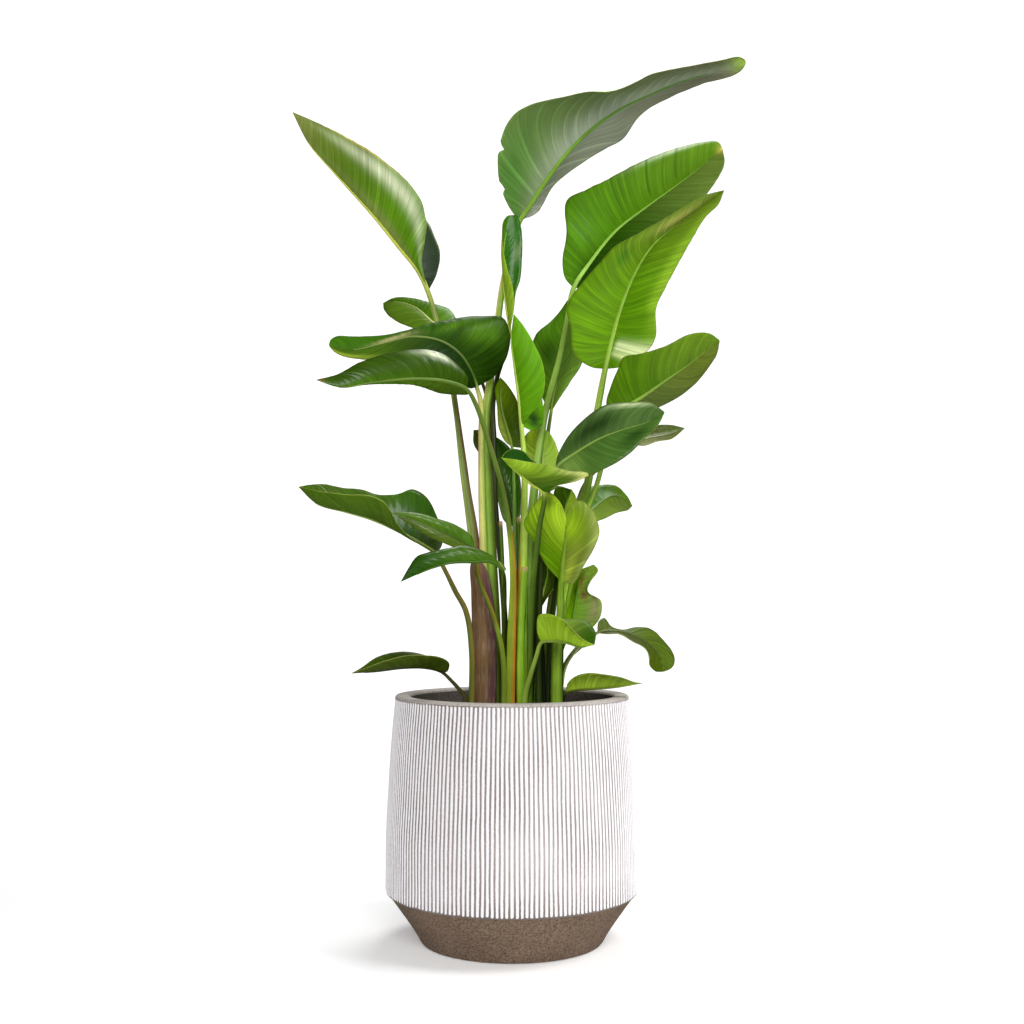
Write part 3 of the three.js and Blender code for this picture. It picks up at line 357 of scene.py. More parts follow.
LEAVES = {
    "leaf_high_left": dict(
        slot="leaf_light", crown=7, neck=4.2, pleat=0.5, spacing=17, slant=0.16,
        stalk=[(-60, -8, 336, 10.5), (-53, -7, 495, 10), (-64, -4, 655, 9.2), (-80, 1, 766, 7),
            (-96, 12, 887, 5), (-111, 22, 976, 4.8), (-130, 26, 1043, 4.6)],
        rib=[(-146, 28, 1096), (-164, 31, 1134), (-198, 34, 1177), (-241, 37, 1231), (-317, 39, 1316),
            (-358, 40, 1364), (-387, 40, 1420)],
        left=[(-156, 14, 1145), (-150, -3, 1177), (-147, -10, 1207), (-158, -16, 1247), (-187, -18, 1285),
            (-242, -9, 1332), (-290, 5, 1364), (-338, 22, 1393)],
        right=[(-132, 66, 1139), (-128, 97, 1183), (-142, 120, 1224), (-156, 134, 1252), (-210, 146, 1312),
            (-287, 125, 1369), (-345, 71, 1400)],
        # The right half's near-black green, on both faces, is painted shade.
        near=("#5e8e1e", "#122a04"), tips=("#647c34", "#4c7428"), far=("#5c9020", "#122c02"),
        far_tips=("#5c9020", "#4c7428"), midrib=("#c4cc62", "#cdd070"),
        stem=("#a4b878", "#66783c", "#704844"),
        # The first patch, near-white, is a painted sheen inside the left margin.
        patches=[(-0.8, 0.48, 0.14, 0.3, "#d8e2e6"), (-0.12, 0.35, 0.12, 0.5, "#7c8f55"),
            (-1.0, 0.66, 0.03, 0.14, "#d8c060"), (-0.4, 0.97, 0.8, 0.12, "#8a9660")],
        bands=[(0.5, 1.0, "#98b060", 0.6)]),
    "leaf_back_left": dict(
        slot="leaf_mid", crown=6, neck=2.4,
        stalk=[(-42, 34, 336, 5), (-40, 37, 494, 4.3), (-39, 45, 700, 3.8), (-39, 56, 858, 3.4),
            (-48, 72, 931, 3), (-81, 93, 999, 2.7)],
        rib=[(-118, 112, 1043), (-145, 136, 1066), (-178, 173, 1100), (-213, 209, 1119), (-245, 240, 1124)],
        left=[(-101, 147, 1066), (-116, 175, 1097), (-153, 204, 1116), (-196, 228, 1131),
            (-225, 236, 1133)],
        right=[(-156, 121, 1046), (-196, 146, 1063), (-223, 174, 1081), (-239, 207, 1103)],
        near=("#507c0c", "#5c7e24"), midrib=(CREAM, "#c3d08c"), stem=("#5e7630", "#404c1e", "#34401a")),
    "leaf_arched_left": dict(
        slot="leaf_dark", crown=7, neck=3.4, pleat=0.9,
        stalk=[(-46, -24, 336, 8), (-46, -26, 496, 7), (-48, -27, 629, 6.2), (-51, -28, 730, 5.4),
            (-52, -32, 830, 4.8), (-52, -42, 890, 4.2)],
        rib=[(-59, -50, 917), (-69, -63, 942), (-87, -77, 968), (-117, -92, 986), (-162, -108, 990),
            (-205, -121, 978), (-252, -129, 965), (-294, -136, 970)],
        left=[(-28, -27, 941), (-8, -20, 977), (-3, -19, 1011), (-14, -23, 1039), (-45, -32, 1041),
            (-103, -56, 1029), (-151, -78, 1009), (-199, -97, 995), (-243, -111, 989), (-282, -124, 988),
            (-292, -129, 981)],
        right=[(-71, -83, 910), (-87, -102, 919), (-116, -117, 931), (-163, -131, 938), (-210, -142, 943),
            (-242, -146, 945), (-268, -144, 951), (-285, -140, 960)],
        near=("#203e04", "#142e02"), tips=("#3c6a14", "#44641a"), far=("#a9a88a", "#8f9a6a"),
        midrib=("#34541a", "#8c9c64"), stem=("#c8b48c", "#c4c884", "#9cb460"),
        patches=[(0.85, 0.9, 0.12, 0.16, "#8fa43c"), (-0.12, 0.66, 0.14, 0.1, "#a39c86"),
            (-0.6, 0.3, 0.3, 0.06, "#4a7414"), (-0.5, 0.42, 0.3, 0.04, "#4a7414")],
        bands=[(0.82, 1.0, "#46601c", 0.75)]),
    "leaf_front_left": dict(
        slot="leaf_dark", crown=7, neck=3.2, skin=GLOSSY, pleat=0.8, spacing=11,
        stalk=[(-4, -53, 336, 8), (-1, -57, 497, 7.2), (2, -69, 604, 5.4), (-4, -81, 677, 4.6),
            (-15, -92, 741, 4.3), (-39, -106, 822, 4.1), (-58, -118, 877, 3.8)],
        rib=[(-73, -128, 901), (-106, -153, 910), (-156, -182, 909), (-219, -210, 898), (-263, -224, 889),
            (-299, -232, 899)],
        left=[(-71, -131, 920), (-89, -142, 940), (-107, -152, 952), (-132, -163, 958), (-163, -174, 956),
            (-198, -187, 947), (-235, -202, 932), (-267, -215, 911)],
        right=[(-71, -106, 897), (-92, -103, 897), (-116, -106, 898), (-140, -112, 906), (-160, -126, 913),
            (-201, -155, 916), (-244, -187, 908), (-272, -211, 901)],
        near=("#304c0a", "#4b6a0e"), far=(LEAF, LEAF), midrib=("#607c38", "#5c7838"),
        stem=("#98b838", "#88942c", "#b87828"),
        # The second patch, near-white, is a painted highlight.
        patches=[(0.0, 1.0, 1.0, 0.04, "#8a5c3c"), (-0.88, 0.3, 0.1, 0.1, "#dce6f0"),
            (0.5, 0.7, 0.5, 0.3, "#5c9420")],
        bands=[(0.4, 1.0, "#4c6c30", 0.85), (0.0, 0.04, "#2c3810", 0.5)]),
    "leaf_top_right": dict(
        slot="leaf_grey_green", crown=8, neck=4.4, skin=BLOOMED, back=GLOSSY_BACK, pleat=1.0, spacing=24,
        slant=0.32,
        stalk=[(-33, 4, 336, 15), (-32, 4, 495, 14), (-37, 4, 630, 12.2), (-42, 6, 732, 11.4),
            (-46, 8, 835, 9.2), (-44, 10, 887, 7.4), (-39, 12, 925, 6.6), (-25, 18, 1036, 5.8),
            (-15, 20, 1110, 5.4), (-1, 16, 1167, 4.8)],
        rib=[(13, 12, 1215), (32, 2, 1242), (57, -13, 1277), (91, -31, 1318), (133, -50, 1355),
            (182, -72, 1383), (230, -92, 1400), (277, -112, 1413), (331, -136, 1421), (378, -156, 1430)],
        left=[(-7, -12, 1237), (-20, -39, 1265), (-24, -69, 1296), (-15, -98, 1332), (2, -119, 1354),
            (32, -134, 1367), (77, -144, 1374), (126, -155, 1380), (155, -159, 1377), (184, -162, 1385),
            (221, -165, 1404), (285, -168, 1417), (337, -166, 1427), (364, -162, 1434)],
        right=[(43, 27, 1235), (54, 42, 1252), (71, 47, 1284), (103, 43, 1313), (137, 32, 1334),
            (165, 22, 1349), (190, 10, 1359), (220, -22, 1391), (260, -49, 1407), (320, -99, 1416),
            (358, -136, 1413), (373, -146, 1420)],
        near=("#6c8446", "#989f88"), tips=("#687050", "#74765e"), far=(LEAF, MOSS),
        midrib=("#86b04a", "#4f8a24"), stem=("#d9cf90", "#83ac3c", "#566a32"),
        patches=[(0.0, 1.0, 1.5, 0.05, LIME), (-0.7, 0.14, 0.5, 0.2, "#5a8a3a"),
            (0.0, 0.48, 0.3, 0.4, "#9ca790")],
        bands=[(0.75, 1.0, "#6f9c34", 0.6)],
        nicks=[(-1, 0.12, 0.12, 0.018), (-1, 0.24, 0.1, 0.014), (1, 0.02, 0.25, 0.02)]),
    "leaf_upper_right": dict(
        slot="leaf_bright", crown=-7, neck=4.4, pleat=0.4, slant=0.1,
        stalk=[(22, 10, 336, 9), (25, 9, 495, 8.6), (28, 8, 630, 8.2), (33, 7, 698, 7.6), (42, 9, 784, 6.8),
            (56, 22, 878, 6), (67, 43, 923, 5.8), (86, 75, 996, 5.4), (99, 95, 1061, 5)],
        rib=[(111, 110, 1122), (143, 131, 1175), (190, 153, 1237), (248, 170, 1287), (314, 181, 1338),
            (362, 184, 1377), (394, 184, 1405)],
        left=[(96, 105, 1139), (91, 104, 1168), (98, 110, 1219), (100, 127, 1288), (135, 141, 1312),
            (172, 148, 1332), (238, 157, 1370), (298, 161, 1395), (351, 170, 1411), (384, 177, 1415)],
        right=[(145, 107, 1125), (187, 116, 1164), (243, 128, 1210), (299, 138, 1251), (347, 150, 1296),
            (374, 157, 1328), (395, 169, 1370)],
        # The dark right half is painted shade.
        near=("#4a7c04", "#264a02"), tips=("#5a8420", "#5c7438"), midrib=("#9cc868", "#6a9c24"),
        stem=("#a4c468", "#86ab50", "#587a34"),
        # The first patch, near-white, is a painted highlight along the margin; the second, dark, is a
        # painted shadow at the base of the right half.
        patches=[(-0.97, 0.8, 0.07, 0.14, "#ccdce0"), (0.3, 0.08, 0.6, 0.16, "#1c3a06"),
            (0.0, 1.0, 0.8, 0.03, "#d8c878")],
        bands=[(0.8, 1.0, "#6c9438", 0.5)],
        creases_and_glints=[(-1, 0.44, 0.004, "#2f5c06"), (-1, 0.59, 0.004, "#2f5c06"), (-1, 0.73, 0.004, "#356008")]),
    "leaf_right_bright": dict(
        slot="leaf_bright", crown=-7, neck=4.8, skin=BACKLIT, pleat=0.6, spacing=20, slant=0.16,
        stalk=[(58, 28, 336, 9), (62, 28, 494, 8.5), (76, 28, 596, 8), (104, 26, 699, 7.5),
            (128, 24, 751, 7), (141, 14, 853, 6.3), (151, 2, 912, 5.6)],
        rib=[(159, -6, 955), (170, 3, 1003), (187, 18, 1062), (216, 37, 1133), (247, 52, 1183),
            (284, 65, 1219), (331, 79, 1256), (382, 94, 1297)],
        left=[(131, -23, 956), (104, -29, 977), (99, -27, 1018), (94, -18, 1063), (117, -1, 1101),
            (153, 17, 1146), (177, 28, 1175), (225, 40, 1205), (276, 56, 1238), (338, 77, 1280)],
        right=[(187, -22, 956), (227, -25, 979), (243, -24, 1005), (246, -11, 1056), (267, 5, 1104),
            (304, 26, 1172), (339, 51, 1232), (367, 73, 1264)],
        near=("#588408", "#588810"), tips=("#5a702c", "#587222"), midrib=("#98bc58", "#5c8420"),
        stem=("#b4c878", "#92b44c", "#5c7c2a"),
        patches=[(-0.56, 0.5, 0.16, 0.05, "#42700c"), (-0.4, 0.76, 0.3, 0.1, "#8a8f60"),
            (0.9, 0.5, 0.16, 0.3, "#7aa030")],
        bands=[(0.0, 0.3, "#2a3c0c", 0.75)],
        # These two pale marks between the side veins are a painted highlight.
        creases_and_glints=[(1, 0.11, 0.024, "#e4ecf4"), (1, 0.075, 0.012, "#d8e4d4")]),
    "leaf_right_middle": dict(
        slot="leaf_mid", crown=-6, neck=3.6, spacing=14, slant=0.2,
        stalk=[(70, 2, 336, 7), (75, 5, 495, 6), (93, 9, 596, 5), (123, 7, 701, 4.6), (142, 0, 752, 4.2),
            (155, -11, 802, 4)],
        rib=[(169, -24, 872), (192, -36, 887), (223, -50, 905), (259, -67, 929), (294, -81, 952),
            (319, -91, 972), (340, -96, 987)],
        left=[(158, -38, 890), (164, -57, 918), (174, -73, 943), (183, -85, 961), (212, -98, 965),
            (248, -109, 975), (286, -116, 992), (319, -111, 996)],
        right=[(188, -10, 874), (231, -13, 882), (274, -26, 900), (299, -42, 917), (320, -60, 939),
            (337, -79, 966)],
        near=("#507a08", "#5a6c38"), tips=("#628424", "#62742e"), midrib=("#9cc460", "#6e9030"),
        stem=("#c8e078", "#b0d060", "#749c3c"),
        bands=[(0.0, 0.4, "#b8e45c", 0.8)]),
    "leaf_right_dark": dict(
        slot="leaf_dark", crown=-5, neck=3, skin=GLOSSY, spacing=13,
        stalk=[(44, -34, 336, 6), (44, -42, 496, 5), (47, -56, 595, 4.4), (52, -72, 677, 3.9),
            (59, -93, 738, 3.4)],
        rib=[(70, -112, 774), (102, -124, 798), (141, -137, 820), (180, -148, 834), (212, -154, 843),
            (242, -156, 860)],
        left=[(74, -96, 797), (84, -91, 818), (100, -92, 841), (125, -97, 864), (153, -105, 879),
            (191, -118, 882), (222, -134, 878)],
        right=[(90, -140, 762), (113, -155, 757), (142, -169, 767), (176, -177, 785), (209, -179, 816),
            (230, -170, 838)],
        near=("#4c6a40", "#486c34"), midrib=("#94b068", "#6c8c44"), stem=("#2c3a12", "#34451a", "#222f0c"),
        # The last patch, pale, is a painted highlight near the margin.
        patches=[(0.5, 0.15, 0.5, 0.12, "#7a9a58"), (-0.4, 0.45, 0.25, 0.2, "#243c1c"),
            (0.6, 0.7, 0.25, 0.12, "#2c4c20"), (-0.86, 0.72, 0.09, 0.14, "#c4d0c8")]),
    "leaf_cupped_centre": dict(
        slot="leaf_lime", crown=6, neck=3.6, slant=0.14,
        stalk=[(28, -66, 336, 5.2), (32, -89, 530, 5), (38, -118, 627, 4.7), (44, -141, 682, 4.4)],
        rib=[(50, -158, 733), (31, -173, 744), (9, -196, 760), (-7, -212, 772), (-16, -218, 781)],
        left=[(65, -171, 735), (77, -180, 745), (99, -189, 746), (117, -194, 754), (121, -198, 757),
            (110, -203, 760), (88, -209, 760), (61, -218, 767), (34, -224, 772), (4, -226, 778)],
        right=[(64, -141, 750), (58, -134, 764), (45, -140, 776), (29, -154, 786), (18, -167, 797),
            (2, -183, 799), (-10, -201, 791)],
        near=("#4c6a22", "#103404"), tips=("#92b838", "#265c08"), far=("#6c9420", "#1c4808"),
        midrib=(STRAW, "#8fb03c"), stem=("#5c7c20", "#46621a", "#30440e"),
        patches=[(-0.4, 0.1, 0.5, 0.1, "#34610a"), (-0.95, 0.36, 0.14, 0.2, "#cfd89c"),
            (0.9, 0.7, 0.3, 0.25, "#1c5210")]),
    "leaf_centre_heart": dict(
        slot="leaf_lime", crown=5, neck=4.6, skin=BACKLIT, spacing=15,
        stalk=[(74, -54, 336, 10), (75, -61, 481, 8.4), (79, -74, 546, 6.4)],
        rib=[(80, -88, 592), (82, -98, 624), (86, -108, 663), (87, -110, 697)],
        left=[(54, -85, 621), (37, -90, 654), (19, -98, 686), (28, -110, 704), (41, -121, 723),
            (58, -121, 736), (73, -119, 725), (82, -115, 711)],
        right=[(100, -78, 589), (116, -78, 616), (135, -83, 649), (143, -90, 675), (130, -103, 708),
            (110, -111, 723), (96, -114, 714)],
        near=("#5e8808", "#4a5e22"), tips=("#96b634", "#6a8822"), midrib=("#7ca02c", "#587c20"),
        stem=("#a0cc44", "#7c9e34", "#567424"),
        patches=[(-0.77, 0.76, 0.14, 0.05, "#5c7c18"), (0.95, 0.5, 0.16, 0.4, "#8a9868"),
            (0.4, 0.2, 0.3, 0.3, "#829040"), (0.3, 0.72, 0.25, 0.16, "#7c9c20")]),
    "leaf_behind_heart": dict(
        slot="leaf_mid", crown=4, neck=2.6,
        stalk=[(78, 40, 336, 5), (85, 40, 494, 4.1), (101, 43, 614, 3.5), (119, 47, 679, 3)],
        rib=[(133, 52, 711), (152, 73, 730), (177, 98, 746), (198, 121, 744), (218, 146, 731)],
        left=[(122, 82, 734), (129, 102, 759), (159, 125, 768), (189, 139, 767), (209, 147, 748)],
        right=[(139, 42, 698), (156, 54, 702), (184, 85, 715), (207, 122, 722)],
        near=("#549010", "#728f38"), tips=("#56781c", "#5e7438"), midrib=("#7c9c50", "#587a30"),
        stem=("#5c7c3c", "#486428", "#34501c")),
    "leaf_right_small": dict(
        slot="leaf_olive", crown=3, neck=2.2,
        stalk=[(66, 58, 336, 4.5), (77, 58, 493, 3.8), (95, 55, 614, 3.4), (121, 52, 753, 3.1),
            (150, 50, 791, 2.8), (180, 46, 819, 2.5)],
        rib=[(206, 46, 834), (243, 67, 846), (278, 90, 855), (310, 114, 869)],
        left=[(223, 74, 855), (255, 98, 871), (284, 110, 874)],
        right=[(227, 44, 829), (255, 62, 839), (282, 84, 846)],
        near=("#52602e", "#747860"), tips=("#52642a", "#5c663a"), midrib=("#84906a", "#66704a"),
        stem=("#8a9c5c", "#6c7c44", "#4c5c2c")),
    "leaf_rolled_top": dict(
        slot="leaf_mid", crown=4, neck=2.6, skin=GLOSSY, pleat=0.25,
        stalk=[(-12, 42, 336, 6), (-11, 44, 493, 5.2), (-20, 45, 631, 4.8), (-29, 46, 735, 4.6),
            (-31, 47, 840, 4.4), (-33, 44, 901, 4.2), (-25, 28, 949, 4), (-11, 8, 989, 3.6)],
        rib=[(-4, 2, 1020), (-9, 2, 1059), (-14, 2, 1102), (-15, 2, 1154), (-9, 0, 1197), (-1, -2, 1223)],
        left=[(0, -10, 1039), (4, -14, 1067), (1, -18, 1097), (-8, -18, 1126), (-15, -12, 1159),
            (-17, -8, 1186), (-15, -5, 1210), (-8, -3, 1221)],
        right=[(3, 0, 1058), (7, 2, 1090), (14, 2, 1111), (17, 2, 1142), (18, 0, 1175), (15, -2, 1205),
            (9, -3, 1221)],
        near=("#95b94c", "#2c6804"), tips=("#407804", "#2c6a04"), far=("#86a82c", "#86a82c"),
        midrib=("#c8d478", "#7aa42c"), stem=("#585c34", "#2c3414", "#1c280c"),
        # The second patch, near-white, is a painted highlight.
        patches=[(-0.3, 0.06, 0.7, 0.12, "#b9cc62"), (0.72, 0.66, 0.07, 0.07, "#eef4ff")]),
    "leaf_folded_centre": dict(
        slot="leaf_bright", crown=7, neck=3.8, skin=BACKLIT, spacing=16, slant=0.3,
        stalk=[(16, -20, 336, 11), (16, -21, 529, 10), (18, -22, 604, 8.5), (19, -24, 649, 6.4),
            (21, -27, 780, 5.2)],
        rib=[(16, -32, 854), (11, -47, 904), (4, -60, 952), (-1, -67, 993), (3, -70, 1036)],
        left=[(31, -54, 871), (46, -63, 887), (54, -68, 913), (52, -70, 949), (37, -71, 985),
            (19, -72, 1016)],
        right=[(36, -31, 846), (51, -21, 857), (53, -16, 883), (50, -15, 914), (45, -21, 951),
            (31, -37, 989), (14, -54, 1016)],
        # The dark right half of the far face is painted shade inside the fold.
        near=("#b0bc08", "#5e9a04"), tips=("#7eaa06", "#4c8a06"), far=("#5f9a0c", "#123c08"),
        midrib=("#cfe08c", LIME), stem=("#b48428", "#b4d458", "#7ca434"),
        # The first patch, near-black, is painted shade inside the fold.
        patches=[(0.7, 0.16, 0.4, 0.08, "#0f2e08"), (-0.85, 0.45, 0.2, 0.4, "#4a860c")],
        bands=[(0.42, 1.0, "#b4d46c", 0.75), (0.75, 1.0, "#88a83c", 0.6)]),
    "leaf_back_dark": dict(
        slot="leaf_dark", crown=-6, neck=3, slant=0.3,
        stalk=[(44, 54, 336, 6), (46, 61, 527, 4.9), (54, 78, 702, 4.2), (63, 104, 846, 3.5)],
        rib=[(71, 132, 901), (82, 162, 964), (90, 189, 1024), (98, 208, 1075), (105, 222, 1126)],
        left=[(57, 139, 923), (43, 166, 974), (36, 194, 1025), (46, 209, 1059), (71, 221, 1082),
            (90, 224, 1104)],
        right=[(84, 129, 922), (106, 140, 958), (129, 159, 997), (127, 183, 1042), (117, 206, 1088)],
        near=("#426c0c", "#749a44"), tips=("#548618", "#4c7020"), stem=("#5f8030", "#4a6a20", "#34501a"),
        patches=[(-0.4, 0.5, 0.4, 0.16, "#2c4c08")]),
    "leaf_olive_narrow": dict(
        slot="leaf_olive", crown=4, neck=2.5, slant=0.3,
        stalk=[(-6, -8, 336, 5), (1, -6, 495, 4.1), (4, -4, 630, 3.5), (4, 2, 749, 3)],
        rib=[(0, 8, 823), (-9, 8, 857), (-19, 12, 896), (-20, 18, 945)],
        left=[(-11, 18, 833), (-22, 25, 858), (-25, 30, 893), (-29, 26, 927)],
        right=[(21, 23, 826), (15, 30, 872), (8, 29, 907), (-9, 23, 934)],
        near=("#94a850", "#364e04"), tips=("#6c900a", "#506608"), midrib=("#7c9440", "#58702a"),
        stem=("#82a850", "#648a38", "#466a24")),
    "leaf_back_light": dict(
        slot="leaf_lime", crown=4, neck=2.2, slant=0.26,
        stalk=[(34, 34, 336, 4.2), (39, 38, 562, 3.3), (44, 40, 700, 2.7)],
        rib=[(51, 44, 770), (53, 58, 802), (52, 73, 834), (45, 88, 871)],
        left=[(32, 62, 787), (23, 79, 817), (23, 91, 852)],
        right=[(71, 57, 786), (83, 69, 807), (77, 80, 838), (63, 86, 860)],
        near=("#c0dc68", "#88a44a"), tips=("#b4d440", "#80a43a"), stem=("#d0ec84", "#b4d864", "#88ac44")),
    "leaf_shaded_centre": dict(
        slot="leaf_dark", crown=5, neck=2.6, skin=GLOSSY, slant=0.26,
        stalk=[(-10, 58, 336, 5), (1, 58, 562, 3.5)],
        rib=[(3, 60, 689), (-6, 82, 738), (-21, 108, 793), (-42, 129, 835), (-70, 148, 870)],
        left=[(-13, 59, 699), (-25, 75, 737), (-38, 95, 781), (-55, 115, 817), (-69, 132, 842)],
        right=[(15, 77, 711), (17, 98, 756), (8, 120, 809), (-6, 135, 839), (-34, 147, 860),
            (-56, 151, 870)],
        near=("#48641c", "#305804"), tips=("#3e4c14", "#285004"), midrib=("#28420a", "#34540a"),
        stem=("#28420a", "#1c3404", "#142804")),
    "leaf_low_left": dict(
        slot="leaf_dark", crown=5, neck=3, skin=GLOSSY, spacing=15,
        stalk=[(-69, -40, 336, 5.5), (-66, -47, 479, 5), (-76, -54, 545, 4.6), (-93, -60, 577, 4.2),
            (-108, -69, 608, 3.6)],
        rib=[(-125, -76, 638), (-146, -90, 653), (-176, -105, 670), (-223, -122, 691), (-265, -135, 703),
            (-309, -144, 715), (-338, -150, 742)],
        left=[(-135, -91, 647), (-162, -109, 662), (-182, -130, 682), (-192, -148, 704), (-204, -157, 719),
            (-229, -163, 728), (-257, -167, 729), (-288, -165, 732), (-314, -159, 736)],
        right=[(-116, -56, 652), (-115, -47, 678), (-125, -46, 703), (-142, -54, 733), (-164, -66, 745),
            (-186, -80, 736), (-214, -93, 733), (-242, -104, 741), (-273, -118, 743), (-298, -128, 748),
            (-322, -141, 746)],
        near=("#243a04", "#2b5204"), tips=("#1c2a04", "#4a6a16"), far=("#43600c", "#3c6008"),
        midrib=("#8a9a50", SAGE), stem=("#64703a", "#707034", "#8c6a34"),
        patches=[(0.5, 0.1, 0.6, 0.12, "#24390a")],
        bands=[(0.75, 1.0, "#3c4818", 0.7)]),
    "leaf_low_left_second": dict(
        slot="leaf_dark", crown=4, neck=2.8, skin=GLOSSY, spacing=15,
        stalk=[(-17, -60, 336, 4.8), (-13, -63, 432, 4.6), (-18, -72, 489, 4.4), (-33, -84, 543, 4),
            (-56, -100, 603, 3.4)],
        rib=[(-60, -110, 642), (-82, -123, 656), (-113, -142, 671), (-152, -161, 687), (-187, -174, 699)],
        left=[(-64, -103, 663), (-75, -105, 674), (-96, -117, 686), (-117, -131, 692), (-142, -147, 699),
            (-167, -162, 701)],
        right=[(-73, -129, 638), (-96, -147, 647), (-129, -163, 662), (-162, -171, 682)],
        near=("#48701a", "#5a7428"), tips=("#44640c", "#3e5410"), midrib=("#466418", "#38540c"),
        stem=("#4c5c1c", "#5c6c24", "#94802c"),
        bands=[(0.75, 1.0, "#3c580c", 0.8), (0.0, 0.4, "#7c9c34", 0.6)]),
    "leaf_low_left_third": dict(
        slot="leaf_dark", crown=4, neck=2.8, skin=GLOSSY, spacing=15,
        stalk=[(-16, -34, 336, 4), (-14, -43, 480, 3.8), (-13, -61, 530, 3.6), (-12, -94, 576, 3.4)],
        rib=[(-15, -134, 609), (-31, -158, 622), (-61, -182, 622), (-94, -205, 620), (-124, -225, 611),
            (-146, -238, 601), (-167, -248, 591)],
        left=[(-26, -150, 628), (-54, -168, 643), (-77, -181, 647), (-99, -197, 643), (-125, -212, 637),
            (-144, -226, 630), (-156, -237, 612)],
        right=[(-9, -118, 612), (-18, -122, 624), (-50, -141, 633), (-81, -165, 634), (-110, -192, 628),
            (-139, -221, 615)],
        near=("#44681e", "#34541a"), tips=("#204602", "#345c10"), midrib=("#466c1c", "#34540c"),
        stem=("#46581a", "#34420c", "#243008")),
    "leaf_rim_left": dict(
        slot="leaf_mid", crown=4, neck=2.6,
        stalk=[(-80, -46, 336, 4.5), (-75, -48, 398, 3.8), (-86, -52, 415, 3.3), (-101, -56, 432, 2.9)],
        rib=[(-115, -62, 445), (-140, -81, 453), (-175, -106, 454), (-216, -135, 450), (-251, -160, 449)],
        left=[(-105, -73, 447), (-102, -82, 461), (-115, -97, 471), (-138, -113, 475), (-169, -131, 475),
            (-199, -147, 467), (-228, -156, 457)],
        right=[(-118, -51, 462), (-142, -58, 473), (-173, -77, 479), (-199, -100, 477), (-219, -121, 470),
            (-237, -143, 457)],
        near=("#141e02", "#283804"), tips=("#1c2004", "#425a16"), far=("#3c4c10", "#34440c"),
        midrib=("#3c4028", "#30341c"), stem=("#6a5c3c", "#4c482c", "#3c3c20"),
        patches=[(-0.7, 0.55, 0.25, 0.25, "#8a9c60")]),
    "leaf_curled_low": dict(
        slot="leaf_lime", crown=4, neck=3, back=GLOSSY_BACK,
        stalk=[(18, -80, 336, 5.5), (22, -86, 410, 4.6), (30, -95, 441, 4), (39, -107, 472, 3.5)],
        rib=[(47, -118, 495), (64, -134, 498), (85, -153, 496), (107, -169, 490), (128, -178, 494)],
        left=[(40, -133, 512), (43, -151, 540), (63, -165, 541), (80, -173, 534), (94, -178, 518),
            (111, -181, 502)],
        right=[(54, -111, 512), (70, -112, 531), (93, -120, 534), (118, -134, 530), (131, -158, 512)],
        near=("#7ea630", "#748f46"), tips=("#96ac74", "#2e5204"), far=("#8cb02e", "#8cb02e"),
        midrib=("#8ca04c", "#5c7c30"), stem=("#a4b858", "#88a44c", "#5c7c34"),
        patches=[(-0.6, 0.6, 0.2, 0.12, "#dcc8ac"), (-0.98, 0.5, 0.08, 0.5, "#d6dca8")]),
    "leaf_low_right": dict(
        slot="leaf_mid", crown=3, neck=2.4,
        stalk=[(82, -28, 336, 4.4), (82, -28, 423, 4.2), (89, -29, 455, 4), (106, -30, 480, 3.6),
            (127, -30, 499, 3.2)],
        rib=[(142, -30, 508), (168, -20, 511), (199, -5, 505), (228, 11, 491), (250, 28, 468),
            (260, 42, 439)],
        left=[(145, -16, 526), (156, -3, 532), (168, 7, 518), (188, 18, 512), (213, 33, 516),
            (239, 45, 512), (262, 58, 493), (280, 62, 467), (280, 54, 453), (273, 48, 444)],
        right=[(157, -36, 506), (180, -35, 506), (200, -30, 494), (223, -18, 482), (231, -7, 468),
            (232, 7, 453), (244, 25, 441)],
        near=("#4e5e2a", "#4a5238"), tips=("#4e6420", "#45580c"), midrib=("#586438", "#4c5830"),
        stem=("#8c9a70", "#66744c", "#c4cca0")),
    "leaf_rim_right": dict(
        slot="leaf_lime", crown=4, neck=2.4,
        stalk=[(92, -8, 336, 4), (85, -8, 395, 3)],
        rib=[(90, -8, 407), (106, -15, 412), (134, -28, 415), (171, -46, 419), (213, -66, 427)],
        left=[(93, -20, 424), (106, -34, 437), (129, -50, 443), (155, -61, 441), (180, -68, 436),
            (200, -68, 429)],
        right=[(99, 14, 414), (120, 20, 423), (150, 10, 427), (184, -25, 426)],
        near=("#bce058", "#a8cc48"), tips=("#7c983c", "#7c983c"), midrib=("#6c7c34", "#8fa44a"),
        # The near-black stalk is a painted shadow at the leaf's base.
        stem=("#46500c", "#303a08", "#242c06")),
    "leaf_spotted": dict(
        slot="leaf_lime", crown=4, neck=2.8,
        stalk=[(81, 17, 336, 4.5), (82, 13, 469, 3.5)],
        rib=[(99, 6, 512), (106, 8, 545), (111, 12, 579), (119, 18, 603), (140, 26, 623)],
        left=[(91, 14, 532), (90, 21, 562), (95, 27, 588), (107, 31, 608)],
        right=[(132, -3, 514), (149, -4, 534), (150, 0, 561), (128, 6, 576), (133, 11, 593),
            (147, 19, 613)],
        near=("#7cac0c", "#608a16"), tips=("#82a838", "#708d3c"), midrib=("#5c8c14", "#4c7808"),
        stem=("#78a02c", "#5e830e", "#3c5c0a"),
        patches=[(0.1, 0.7, 0.2, 0.1, "#7a3c1c"), (0.3, 0.52, 0.14, 0.07, "#6c3418"),
            (0.74, 0.4, 0.25, 0.2, "#8c8c74"), (-0.2, 0.55, 0.1, 0.05, "#6c4c24")]),
    "leaf_back_olive": dict(
        slot="leaf_olive", crown=4, neck=2.2,
        stalk=[(54, 6, 336, 4), (52, 7, 478, 2.9)],
        rib=[(45, 6, 542), (53, 10, 576), (60, 14, 606), (57, 16, 647)],
